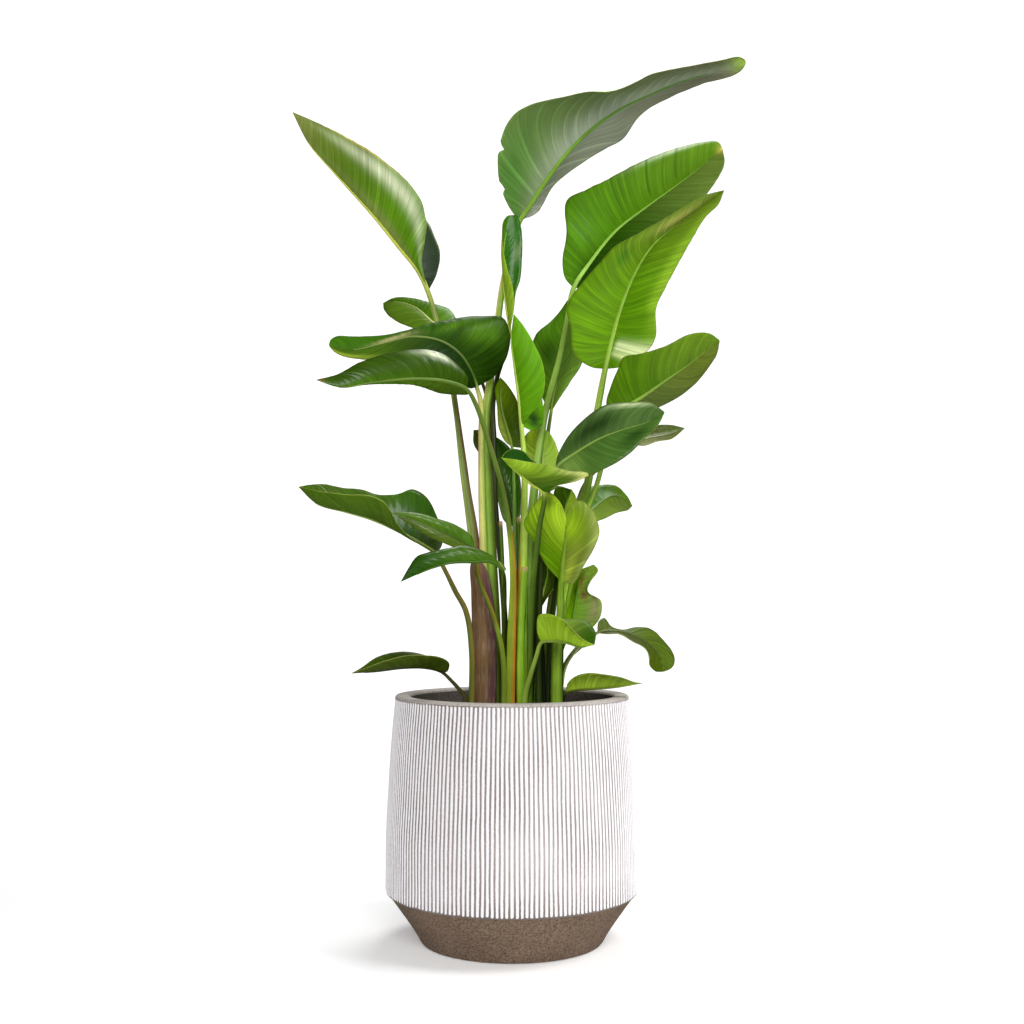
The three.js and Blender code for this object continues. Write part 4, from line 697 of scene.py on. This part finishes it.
        left=[(37, 14, 554), (38, 20, 588), (45, 22, 622)],
        right=[(57, 2, 562), (75, 4, 593), (72, 10, 625)],
        # The near-black stalk and the near-black base of the blade are painted shade between the stems.
        near=("#506c12", "#506a14"), tips=("#46581c", "#46581c"), stem=("#141c06", "#101804", "#0c1404"),
        patches=[(0.5, 0.1, 1.0, 0.2, "#0c1404")]),
    "leaf_tucked_small": dict(
        slot="leaf_olive", crown=3, neck=2.4,
        stalk=[(60, -14, 336, 4), (63, -14, 495, 3.6), (76, -20, 604, 3.2)],
        rib=[(89, -30, 679), (89, -32, 713), (100, -32, 747)],
        left=[(75, -26, 695), (69, -24, 723), (75, -28, 752)],
        right=[(105, -26, 695), (109, -24, 718), (107, -28, 736)],
        near=("#2e4708", "#668517"), tips=("#4c700e", "#9cbc3c"), stem=("#28380c", "#1c2804", "#141e04")),
}


# ---- making pieces --------------------------------------------------------------------------
def linked(name, data):
    """A new object in the scene."""
    made = bpy.data.objects.new(name, data)
    bpy.context.scene.collection.objects.link(made)
    return made


def finished(name, bm, materials):
    """An object with a smooth mesh and its materials."""
    for face in bm.faces:
        face.smooth = True
    mesh = bpy.data.meshes.new(name)
    bm.to_mesh(mesh)
    bm.free()
    for material in materials:
        mesh.materials.append(material)
    return linked(name, mesh)


def piece(name, bm, materials, slot, replaced=()):
    """Turns a mesh in millimetres into a finished piece that rides on the plant."""
    bmesh.ops.scale(bm, vec=(MM, MM, MM), verts=bm.verts[:])
    made = finished(name, bm, materials)
    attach(made, "root")
    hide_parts(*replaced)
    return made


def thicken(made, thickness, **settings):
    """Gives a thin surface its thickness, half of it to each side."""
    solid = made.modifiers.new("thickness", "SOLIDIFY")
    solid.thickness = thickness * MM
    solid.offset = 0
    for name, value in settings.items():
        setattr(solid, name, value)


def spun(outline, steps, angle=TURN, merge=True):
    """A mesh spun about the upright axis from its outline of (radius, height)."""
    bm = bmesh.new()
    points = [bm.verts.new((radius, 0, height)) for radius, height in outline]
    lines = [bm.edges.new(pair) for pair in zip(points, points[1:])]
    bmesh.ops.spin(bm, geom=points + lines, axis=(0, 0, 1), cent=(0, 0, 0), steps=steps, angle=angle,
                   use_merge=merge, use_duplicate=False)
    return bm


def mapped(bm, layer, read):
    """Fills a texture map of a mesh from what was noted for each vertex."""
    for face in bm.faces:
        for loop in face.loops:
            loop[layer].uv = read[loop.vert]


# ---- leaves ---------------------------------------------------------------------------------
def tinted(halves, tips, patches, place, share):
    """The colour at a place across a blade (-1 to 1) and along it (0 to 1), with patches, some painted
    light.
    """
    base, tip = (blend(linear(pair[0]), linear(pair[1]), smooth(-PAINT_EDGE, PAINT_EDGE, place))
                 for pair in (halves, tips or halves))
    colour = blend(base, tip, smooth(0.3, 0.85, share))
    for centre, along, wide, long, code in patches:
        far_off = ((place - centre) / wide) ** 2 + ((share - along) / long) ** 2
        if far_off < 5:
            colour = blend(colour, linear(code), math.exp(-far_off))
    return colour


def blade(name, leaf):
    """A leaf blade: two halves from the midrib to their margins, pleated along the side veins."""
    base, tip = leaf["rib"][0], leaf["rib"][-1]
    route = Route(leaf["rib"])
    rib = even(route)
    edges = {-1: even(Route([base, *leaf["left"], tip])), 1: even(Route([base, *leaf["right"], tip]))}
    widest = max((edge(i / 20) - rib(i / 20)).length for edge in edges.values() for i in range(1, 20))
    seed = sum(map(ord, name)) * 0.37
    rows = max(40, round(route.length / ROW_PITCH))
    half_columns = max(6, round(widest / COLUMN_PITCH))
    bm = bmesh.new()
    place_map, vein_map = (bm.loops.layers.uv.new(layer) for layer in ("place", "veins"))
    near, far = (bm.verts.layers.float_color.new(layer) for layer in ("near_tint", "far_tint"))
    phases, raised = (bm.verts.layers.float.new(layer) for layer in ("phase", "raised"))
    bmesh.ops.create_grid(bm, x_segments=2 * half_columns, y_segments=rows, size=1)
    places, fibres = {}, {}
    for vert in bm.verts:
        x, v = vert.co.x, (vert.co.y + 1) / 2
        side = -1 if x < 0 else 1
        across = abs(x) ** COLUMN_CROWDING
        painted = side * across
        # A row of the mesh follows the side veins, which lean towards the tip, but not at the ends.
        lean = leaf["slant"] * across ** 1.3 * min(1, v / 0.3, 3 * (1 - v))
        share = min(v * TIP_SHARE + lean, TIP_SHARE)
        centre = rib(share)
        heading = rib(share + 0.01) - rib(share - 0.01)
        span = edges[side](share) - centre
        half_width = span.length
        normal = span.cross(heading)
        if normal.length < 1e-6:
            normal = Vector((0, 1, 0))
        normal.normalize()
        if side > 0:
            normal.negate()

        # A nick shortens the reach near the margin only.
        reach = 1.0
        for nick_side, nick_at, depth, width in leaf["nicks"]:
            if nick_side == side:
                reach -= depth * clamp(1 - abs(share - nick_at) / width) * across ** 6
        label = v * route.length
        reach *= 1 + RIPPLE * rough(seed + 3, label / RIPPLE_LENGTH, side) * across

        # The folds along the side veins, quiet at the midrib, at the tip and where the blade is narrow.
        phase = label / leaf["spacing"] + 0.5 * rough(label / 60, seed, side)
        swell = 0.65 + 0.45 * rough(label / 45, seed + 9, side)
        fold = FOLD * math.sin(TURN * phase) * swell
        fold += FOLD_NOISE * rough(label / leaf["spacing"] * 0.8, seed + 5)
        settled = smooth(0, 0.25, across) * (1 - 0.4 * smooth(0.85, 1, across)) * smooth(4, 34, half_width)
        settled *= 1 - smooth(0.72, 0.97, v)

        # The bulge of each half, the folds, a slow wave, and a quicker one at the margin.
        wide_enough = smooth(0, 45, half_width)
        lift = leaf["crown"] * 4 * across * (1 - across) * math.sin(math.pi * clamp(share))
        lift += leaf["pleat"] * fold * settled
        lift += SLOW_WAVE * rough(x * 1.7 + seed, label / SLOW_LENGTH, side) * across * wide_enough
        lift += EDGE_WAVE * rough(seed, label / EDGE_LENGTH, side + 0.5) * across ** 4 * wide_enough
        vert.co = centre + span * across * reach + normal * lift

        colour = tinted(leaf["near"], leaf["tips"], leaf["patches"], painted, share)
        # A dark crease follows a side vein; a pale one is a painted highlight.
        for vein_mark_side, vein_mark_at, width, code in leaf["creases_and_glints"]:
            if vein_mark_side == side:
                weight = math.exp(-((v - vein_mark_at) / width) ** 2) * smooth(0.1, 0.3, across)
                colour = blend(colour, linear(code), 0.8 * weight)
        vert[near] = colour
        vert[far] = tinted(leaf["far"], leaf["far_tips"], [], painted, share)
        vert[phases] = phase
        vert[raised] = settled * swell
        places[vert] = ((painted + 1) / 2, share)
        fibres[vert] = (painted * half_width, label)
    mapped(bm, place_map, places)
    mapped(bm, vein_map, fibres)
    bmesh.ops.remove_doubles(bm, verts=bm.verts[:], dist=0.12)
    bm.normal_update()
    facing = sum(f.normal.dot((EYE - f.calc_center_median()).normalized()) * f.calc_area()
                 for f in bm.faces)
    if facing < 0:
        bmesh.ops.reverse_faces(bm, faces=bm.faces[:])
    made = piece(name + "_blade", bm, [leaf["skin"], leaf["back"], MARGIN], leaf["slot"], [name])
    thicken(made, BLADE, use_rim=True, material_offset=1, material_offset_rim=2)


def tube(bm, route, reach, radius_at, tint_at, wobble, seed=0.0):
    """A bar along a route, painted by tint_at(share of the route, place across the front view)."""
    vein_map = bm.loops.layers.uv.new("veins")
    paint = bm.verts.layers.float_color.new("near_tint")
    rows = max(4, round(route.length * reach / STALK_ROW))
    line = even(route)
    rings = []
    side = Vector((1, 0, 0))
    for i in range(rows + 1):
        share = reach * i / rows
        centre = line(share)
        heading = (line(share + 0.006) - line(share - 0.006)).normalized()
        # Each ring starts at the side of the bar that the front view sees on its right.
        wanted = heading.cross((EYE - centre).normalized())
        if wanted.length > 0.25:
            side = wanted if wanted.dot(side) >= 0 or i == 0 else -wanted
        side = (side - heading * side.dot(heading)).normalized()
        rings.append((centre, side, side.cross(heading), share))
    bmesh.ops.create_grid(bm, x_segments=STALK_SIDES, y_segments=rows, size=1)
    fibres = {}
    for vert in bm.verts:
        turn = TURN * (vert.co.x + 1) / 2
        centre, side, front, share = rings[round((vert.co.y + 1) / 2 * rows)]
        radius = radius_at(share)
        shaped = radius * (1 + wobble * math.cos(3 * turn + seed) + wobble * rough(turn, share * 9, seed))
        vert.co = centre + side * (math.cos(turn) * shaped) + front * (math.sin(turn) * shaped)
        vert[paint] = tint_at(share, math.cos(turn))
        fibres[vert] = (radius * turn, share * route.length)
    mapped(bm, vein_map, fibres)
    bmesh.ops.remove_doubles(bm, verts=bm.verts[:], dist=0.01)
    bmesh.ops.holes_fill(bm, edges=[edge for edge in bm.edges if edge.is_boundary])
    bmesh.ops.recalc_face_normals(bm, faces=bm.faces[:])


def tint_and_painted_shade_across(colours, place):
    """The colour across a stalk, from its left, middle and right colours, which hold painted light and
    shade.
    """
    left, middle, right = (linear(code) for code in colours)
    if place < 0:
        return blend(left, middle, smooth(-0.9, -0.1, place))
    return blend(middle, right, smooth(0.1, 0.9, place))


def stalk(name, leaf):
    """A leaf stalk from the soil, running on under the blade as its tapering midrib."""
    root = Route([*leaf["stalk"], leaf["rib"][0]])
    route = Route([*leaf["stalk"], *leaf["rib"]])
    blade_share = root.length / route.length
    reach = blade_share + (1 - blade_share) * MIDRIB_REACH
    radii = [point[3] for point in leaf["stalk"]] + [leaf["neck"]]
    marks = [mark / root.length * blade_share for mark in root.knots]
    seed = sum(map(ord, name)) * 0.21

    def radius_at(share):
        if share >= blade_share:
            along = (share - blade_share) / (reach - blade_share)
            return leaf["neck"] + (MIDRIB_END_RADIUS - leaf["neck"]) * min(along, 1) ** 1.2
        for low, high, first, second in zip(marks, marks[1:], radii, radii[1:]):
            if share <= high:
                return first + (second - first) * smooth(low, high, share)
        return leaf["neck"]

    def tint_at(share, place):
        # Across the stalk: its own colour, with painted highlight and painted shade on the sides that the
        # front view sees.
        colour = tint_and_painted_shade_across(leaf["stem"], place + 0.25 * rough(share * 12, seed))
        for low, high, code, weight in leaf["bands"]:
            within = smooth(low - 0.02, low + 0.02, share) * (1 - smooth(high - 0.02, high + 0.02, share))
            colour = blend(colour, linear(code), weight * within)
        start_colour, end_colour = (linear(code) for code in leaf["midrib"])
        along = clamp((share - blade_share) / max(reach - blade_share, 0.01))
        midrib = blend(start_colour, end_colour, along)
        return blend(colour, midrib, smooth(blade_share - 0.03, blade_share + 0.03, share))

    bm = bmesh.new()
    tube(bm, route, reach, radius_at, tint_at, wobble=0.05, seed=seed)
    piece(name + "_stalk", bm, [STALK], leaf["slot"], [name])


for leaf_name, form in LEAVES.items():
    whole_leaf = {**PLAIN, **form}
    blade(leaf_name, whole_leaf)
    stalk(leaf_name, whole_leaf)

# ---- cut stalks -----------------------------------------------------------------------------
FRESH_STUB = dict(slot="leaf_mid", colours=("#a8d048", "#88b038", "#74b030"))
# Dark stalks, their colours painted shade among the stems.
SHADED_STUB = dict(slot="leaf_dark", colours=("#4c6820", "#5a7a26", "#34501a"))
CUT_STALKS = {
    "cut_stalk_left": (FRESH_STUB, [(14, -46, 336, 6.5), (14, -46, 497, 6), (21, -48, 617, 5.5)]),
    "cut_stalk_right": (FRESH_STUB, [(31, -42, 336, 5.5), (32, -42, 496, 5.1), (37, -44, 612, 4.6)]),
    "shaded_stalk_left": (SHADED_STUB, [(-15, 24, 336, 4.4), (-14, 24, 494, 4), (-17, 25, 630, 3.7),
                                        (-20, 26, 697, 3.4)]),
    "shaded_stalk_centre": (SHADED_STUB, [(9, 38, 336, 4.2), (9, 38, 494, 4), (11, 40, 631, 3.7),
                                          (11, 42, 705, 3.4)]),
}


def stub(name, look, points):
    """A cut stalk, dried pinkish brown at its end."""
    first, last = points[0][3], points[-1][3]

    def radius_at(share):
        return first + (last - first) * share

    def tint_at(share, place):
        # The stub's sides also hold painted highlight and painted shade.
        return blend(tint_and_painted_shade_across(look["colours"], place), linear("#c9a58c"), smooth(0.965, 0.995, share))

    bm = bmesh.new()
    tube(bm, Route(points), 1.0, radius_at, tint_at, wobble=0.06)
    piece(name + "_stub", bm, [STALK], look["slot"], [name])


for stub_name, (stub_look, stub_points) in CUT_STALKS.items():
    stub(stub_name, stub_look, stub_points)

# ---- the dead sheath ------------------------------------------------------------------------
SHEATH_RIB = [(-44, -46, 336), (-45, -46, 497), (-51, -43, 579), (-59, -38, 639)]
SHEATH_LEFT = [(-63, -27, 336), (-66, -27, 496), (-68, -28, 579), (-69, -31, 621)]
SHEATH_RIGHT = [(-27, -28, 336), (-26, -27, 463), (-29, -28, 546), (-41, -34, 609)]
SHEATH_BULGE = 2
SHEATH_WIDTH = 14           # half the width and the length that its fibres are drawn for
SHEATH_LENGTH = 300


def sheath():
    """The papery sheath: a curled sheet, creased lengthwise, from brown to plum with pale streaks, partly
    scuffs and partly painted highlight.
    """
    bm = bmesh.new()
    vein_map = bm.loops.layers.uv.new("veins")
    paint = bm.verts.layers.float_color.new("near_tint")
    bmesh.ops.create_grid(bm, x_segments=16, y_segments=90, size=1)
    rib = even(Route(SHEATH_RIB))
    edges = {-1: even(Route([*SHEATH_LEFT, SHEATH_RIB[-1]])),
             1: even(Route([*SHEATH_RIGHT, SHEATH_RIB[-1]]))}
    fibres = {}
    for vert in bm.verts:
        x, share = vert.co.x, (vert.co.y + 1) / 2
        centre = rib(share)
        span = edges[-1 if x < 0 else 1](share * 0.995) - centre
        bulge = SHEATH_BULGE * 4 * abs(x) * (1 - abs(x))
        crease = 0.7 * math.sin(x * 9 + 0.8 * rough(share * 5)) + 0.6 * rough(x * 3, share * 9)
        vert.co = centre + span * abs(x) + Vector((0, -bulge - crease, 0))
        plum = smooth(-0.1, 0.8, x + 0.5 * rough(share * 6, 2))
        # Pale streaks: partly scuffs, partly painted highlight.
        scuffs_and_sheen = 0.6 * smooth(0.1, 0.7, rough(x * 6, share * 11, 5))
        vert[paint] = blend(blend(linear("#7c6040"), linear("#704c4e"), plum), linear("#a88c70"), scuffs_and_sheen)
        fibres[vert] = (x * SHEATH_WIDTH, share * SHEATH_LENGTH)
    mapped(bm, vein_map, fibres)
    bm.normal_update()
    if sum(face.normal.y for face in bm.faces) > 0:
        bmesh.ops.reverse_faces(bm, faces=bm.faces[:])
    thicken(piece("dry_sheath_husk", bm, [DRY], "dry_husk", ["dry_sheath"]), HUSK)


sheath()


# ---- planter --------------------------------------------------------------------------------
def washed_clay():
    """Clay scored with a comb and washed white: white paint on the ribs, bare taupe in the grooves."""
    material, tree = start("scored_white_washed_clay")
    painted = add(tree, "Attribute", out="Fac", attribute_name="wash")
    spot = add(tree, "TexCoord", out="Object")
    grit = add(tree, "TexNoise", {"Vector": spot, "Scale": 420.0, "Detail": 3.0})
    cloud = add(tree, "TexNoise", {"Vector": spot, "Scale": 9.0, "Detail": 3.0})
    groove = covered(tree, linear("#948a88"), linear("#b4acaa"), cloud, 0.35, 0.65)
    # The grooves are darker towards the left, painted shade, and darker low down.
    right, height = (add(tree, "SeparateXYZ", (spot,), out=axis) for axis in "XZ")
    painted_shade_left = add(tree, "MapRange", (right, 0.06, -0.2, 0.0, 0.6))
    downwards = add(tree, "MapRange", (height, 0.13, 0.085, 0.0, 0.7))
    darker = add(tree, "Math", (painted_shade_left, downwards), operation="MAXIMUM")
    groove = covered(tree, groove, linear("#54483f"), darker)
    gritty = add(tree, "MapRange", (grit, 0.3, 0.7, -0.16, 0.16))
    worn = add(tree, "Math", (painted, gritty), operation="ADD")
    toned = covered(tree, groove, linear("#ece9ec"), worn, 0.2, 0.46)
    end(tree, relief=(grit, 0.35, 0.5), Base_Color=toned, Roughness=0.82, Specular_IOR_Level=0.25)
    return material


def bare_clay(name, dark, light):
    """Sanded bare clay with fine pale and dark grains, about 3 mm apart."""
    material, tree = start(name)
    spot = add(tree, "TexCoord", out="Object")
    grain = add(tree, "TexNoise", {"Vector": spot, "Scale": 330.0, "Detail": 4.0, "Roughness": 0.7})
    cloud = add(tree, "TexNoise", {"Vector": spot, "Scale": 12.0, "Detail": 4.0})
    toned = mottled(tree, covered(tree, linear(dark), linear(light), grain, 0.35, 0.65), cloud, 0.9, 1.1)
    end(tree, relief=(grain, 0.6, 0.7), Base_Color=toned, Roughness=0.9, Specular_IOR_Level=0.2)
    return material


# White paint rubbed off the grooves: the ribs read as bright chalky lines.
WASHED = washed_clay()
# Bare sandy clay: dull brown under the wash, paler where the rim is rubbed, and dark inside with painted
# shade.
FOOT_CLAY = bare_clay("sanded_bare_clay", "#4c3d31", "#8a7563")
RIM_CLAY = bare_clay("rubbed_rim_clay", "#9c948e", "#c2bab4")
SHADED_INSIDE_CLAY = bare_clay("inside_clay_painted_shade", "#48423d", "#6c655f")

# The outline of the planter, as (radius, height).
RIM_START = POT_HEIGHT - RIM_BAND
FOOT = [(0, 0), (FOOT_RADIUS - 40, 0), (FOOT_RADIUS - 3, 0), (FOOT_RADIUS, 0.4), (150, 1.5), (152.5, 4.2),
        (155.5, 9.5), (161, 19), (168, 29.5), (175.5, 40.5), (183.5, 51.5), (191.5, 62.8), (199.8, 74),
        (205.8, 81.5)]
RIBBED = [(208.1, 82.8), (209.2, 84), (209.7, 85.5), (209.9, 87), (BELLY_RADIUS, 89), (BELLY_RADIUS, 92),
          (BELLY_RADIUS, 109), (BELLY_RADIUS, 126), (BELLY_RADIUS, 143), (BELLY_RADIUS, 160), (209.8, 178),
          (209, 198), (208, 218), (207, 238), (206, 258), (205, 278), (203.8, 298), (202.4, 318),
          (200.9, 338), (199.3, 358), (197.6, 376), (196.5, 388), (196.1, 393.5), (195.9, 395.5),
          (195.8, 397.2), (195.7, 398.7), (195.6, RIM_START)]
RIM = [(195.4, 401.2), (195, 402.6), (193.8, 403.7), (192, POT_HEIGHT), (182, POT_HEIGHT),
       (176, POT_HEIGHT), (173.2, 403.2), (171.6, 401.6), (INNER_RADIUS, 399)]
INSIDE = [(INNER_RADIUS, 380), (INNER_RADIUS, 350), (INNER_RADIUS, 110), (143, 38), (0, 38)]
WASHED_AT, FOOT_AT, RIM_AT, INSIDE_AT = range(4)


def score(bm, wash):
    """Presses the grooves into the wall, each rib with its own length, sway and depth."""
    steps = RIBS * len(RIB_SHAPE)
    for vert in bm.verts:
        radius = math.hypot(vert.co.x, vert.co.y)
        height = vert.co.z
        if radius < INNER_RADIUS + 20 or height < RIBBED[0][1] - 6:
            continue
        angle = math.atan2(vert.co.y, vert.co.x)
        rib, within = divmod(round(angle / TURN * steps) % steps, len(RIB_SHAPE))
        lowest = SHOULDER_HEIGHT + 1.6 + 1.6 * rough(rib * 1.7, 4.1)
        highest = RIM_START - 1.5 + 1.1 * rough(rib * 1.3, 8.2)
        scored = smooth(lowest - 2, lowest + 1.5, height) * (1 - smooth(highest - 1.5, highest + 1, height))
        depth = RIB_RELIEF * (1 - RIB_SHAPE[within]) * (0.85 + 0.3 * rough(rib, height / 40)) * scored
        sway = 0.14 * rough(math.cos(angle) * 11, math.sin(angle) * 11, height / 70)
        sway += 0.05 * rough(math.cos(angle) * 40, math.sin(angle) * 40, height / 16)
        angle += sway * TURN / RIBS * scored
        vert.co.x = (radius - depth) * math.cos(angle)
        vert.co.y = (radius - depth) * math.sin(angle)
        vert[wash] = scored * RIB_SHAPE[within]


def clay_at(radius, height):
    """The number of the clay at a place on the planter."""
    if height > RIM_START - 0.2 and radius > INNER_RADIUS:
        return RIM_AT
    if radius > INNER_RADIUS + 1 and height > RIBBED[0][1] - 2:
        return WASHED_AT
    if radius <= INNER_RADIUS + 0.5 and height > 30:
        return INSIDE_AT
    return FOOT_AT


def planter():
    """The clay planter: one sector of its wall is spun, repeated all round and then scored."""
    bm = spun([*FOOT, *RIBBED, *RIM, *INSIDE], RIBS * len(RIB_SHAPE) // SECTORS, TURN / SECTORS, merge=False)
    sector = bm.verts[:] + bm.edges[:] + bm.faces[:]
    for i in range(1, SECTORS):
        copied = bmesh.ops.duplicate(bm, geom=sector)["geom"]
        bmesh.ops.rotate(bm, verts=[item for item in copied if isinstance(item, bmesh.types.BMVert)],
                         cent=(0, 0, 0), matrix=Matrix.Rotation(TURN * i / SECTORS, 3, "Z"))
    bmesh.ops.remove_doubles(bm, verts=bm.verts[:], dist=0.01)
    score(bm, bm.verts.layers.float.new("wash"))
    for face in bm.faces:
        centre = face.calc_center_median()
        face.material_index = clay_at(math.hypot(centre.x, centre.y), centre.z)
    bmesh.ops.recalc_face_normals(bm, faces=bm.faces[:])
    piece("planter_scored_clay", bm, [WASHED, FOOT_CLAY, RIM_CLAY, SHADED_INSIDE_CLAY], "washed_clay", ["planter"])


planter()


# ---- soil -----------------------------------------------------------------------------------
def potting_mix(name, dark, light, grain_size):
    """Damp peat with bits of bark."""
    material, tree = start(name)
    spot = add(tree, "TexCoord", out="Object")
    grain = add(tree, "TexNoise", {"Vector": spot, "Scale": 1 / (grain_size * MM), "Detail": 5.0,
                                   "Roughness": 0.7})
    toned = covered(tree, linear(dark), linear(light), grain, 0.4, 0.68)
    end(tree, relief=(grain, 2.0, 0.9), Base_Color=toned, Roughness=0.95, Specular_IOR_Level=0.2)
    return material


# Damp and dark, so that it reads as a shadow inside the rim, with paler bark on it.
SOIL = potting_mix("damp_peat", "#1d1611", "#46382b", 5)
BARK_BITS = potting_mix("bark_bits", "#33251a", "#6b5038", 9)
SOIL_SIDE = INNER_RADIUS - 0.4
SOIL_RINGS = 40


def soil_height(x, y):
    """The height of the soil, with lumps of about 34, 11 and 4 mm."""
    lumps = 2.2 * rough(x / 34, y / 34) + 1.3 * rough(x / 11, y / 11, 3) + 0.6 * rough(x / 4, y / 4)
    return SOIL_TOP + lumps


def soil():
    """The soil: a lumpy top, and a plain side that the planter hides."""
    outline = [(0, SOIL_BED), (SOIL_SIDE, SOIL_BED), (SOIL_SIDE, SOIL_TOP - 3)]
    outline += [(SOIL_SIDE * (1 - i / SOIL_RINGS), SOIL_TOP) for i in range(1, SOIL_RINGS)]
    bm = spun([*outline, (0, SOIL_TOP)], 180)
    bmesh.ops.remove_doubles(bm, verts=bm.verts[:], dist=0.01)
    for vert in bm.verts:
        if vert.co.z > SOIL_TOP - 1:
            vert.co.z = soil_height(vert.co.x, vert.co.y)
    bmesh.ops.recalc_face_normals(bm, faces=bm.faces[:])
    piece("potting_soil_bed", bm, [SOIL], "potting_soil", ["potting_soil"])


def crumbs():
    """Loose bits of bark on the soil, each turned, flattened and knocked out of shape."""
    bm = bmesh.new()
    for _ in range(CRUMBS):
        turn = random.uniform(0, TURN)
        radius = (SOIL_SIDE - 7) * math.sqrt(random.random())
        x, y = radius * math.cos(turn), radius * math.sin(turn)
        size = random.uniform(*CRUMB_SIZES)
        matrix = Matrix.Translation((x, y, soil_height(x, y) + size * 0.15))
        matrix @= Matrix.Rotation(random.uniform(0, TURN), 4, Vector((random.random(), random.random(), 1)))
        matrix @= Matrix.Diagonal((1, random.uniform(0.4, 0.9), random.uniform(0.25, 0.6), 1))
        crumb = bmesh.ops.create_icosphere(bm, subdivisions=1, radius=size, matrix=matrix)["verts"]
        for vert in crumb:
            knock = Vector((random.uniform(-1, 1), random.uniform(-1, 1), random.uniform(-1, 1)))
            vert.co += knock * size * 0.12
    piece("bark_crumbs", bm, [BARK_BITS], "potting_soil")


soil()
crumbs()

# ---- studio, in metres ----------------------------------------------------------------------
BOWL_RADIUS = 6.0
BOWL_BEND = 2.0             # radius of the bend from the bowl's floor to its wall
BOWL_TOP = 7
BEND_STEPS = 12
BELOW_FLOOR = 0.01          # how far the bowl lies below the white disc
FLOOR_RADIUS = 1.6


def stage_piece(name, bm, albedo, glow):
    """Part of the studio: it shows white, and is left out of the gloss on the leaves."""
    material, tree = start(name)
    end(tree, Base_Color=linear(albedo), Roughness=1.0, Specular_IOR_Level=0.0,
        Emission_Color=(1, 1, 1, 1), Emission_Strength=glow)
    made = finished(name, bm, [material])
    made.visible_glossy = False
    return made


def studio():
    """A white bowl for the backdrop, and a white disc to catch the planter's shadow."""
    turns = [step * math.pi / 2 / BEND_STEPS for step in range(BEND_STEPS + 1)]
    bow = [(BOWL_RADIUS - BOWL_BEND + BOWL_BEND * math.sin(turn), BOWL_BEND - BOWL_BEND * math.cos(turn))
           for turn in turns]
    bm = spun([(radius, height - BELOW_FLOOR) for radius, height in [(0, 0), *bow, (BOWL_RADIUS, BOWL_TOP)]],
              96)
    bmesh.ops.remove_doubles(bm, verts=bm.verts[:], dist=0.0001)
    bmesh.ops.recalc_face_normals(bm, faces=bm.faces[:])
    bmesh.ops.reverse_faces(bm, faces=bm.faces[:])
    backdrop = stage_piece("studio_backdrop", bm, "#000000", 1.2)
    backdrop.visible_diffuse = False
    bm = bmesh.new()
    bmesh.ops.create_circle(bm, cap_ends=True, segments=96, radius=FLOOR_RADIUS)
    stage_piece("studio_floor", bm, "#f6f6f6", 0.23)


def lamp(name, place, aim, size, power):
    """A round soft lamp, turned to what it lights."""
    data = bpy.data.lights.new(name, "AREA")
    data.shape = "DISK"
    data.size = size
    data.energy = power
    made = linked(name, data)
    made.location = place
    made.rotation_mode = "QUATERNION"
    made.rotation_quaternion = (Vector(aim) - Vector(place)).to_track_quat("-Z", "Y")


studio()
lamp("key_softbox", (2.3, -0.8, 3.1), (0, 0, 0.7), 1.5, 70)
lamp("front_fill", (0.1, -3.4, 1.9), (0, 0, 0.6), 1.8, 84)
lamp("back_top", (0.6, 1.8, 3.2), (0, 0, 0.9), 1.6, 60)

world = bpy.data.worlds.new("studio_air")
bpy.context.scene.world = world
world.use_nodes = True
world.node_tree.nodes["Background"].inputs["Color"].default_value = (1, 1, 1, 1)
world.node_tree.nodes["Background"].inputs["Strength"].default_value = 0.26
world.cycles_visibility.glossy = False

# The photograph's view: its lens, fitted to the ellipses of the rim and foot, tilted up 3.6 degrees.
LENS = 45.56
SENSOR = 36
TILT = 0.062
camera_data = bpy.data.cameras.new("camera")
camera_data.lens = LENS
camera_data.sensor_width = SENSOR
camera = linked("camera", camera_data)
camera.location = EYE * MM
camera.rotation_euler = (math.pi / 2 + TILT, 0, 0)
bpy.context.scene.camera = camera
bpy.context.scene.view_settings.view_transform = "Standard"
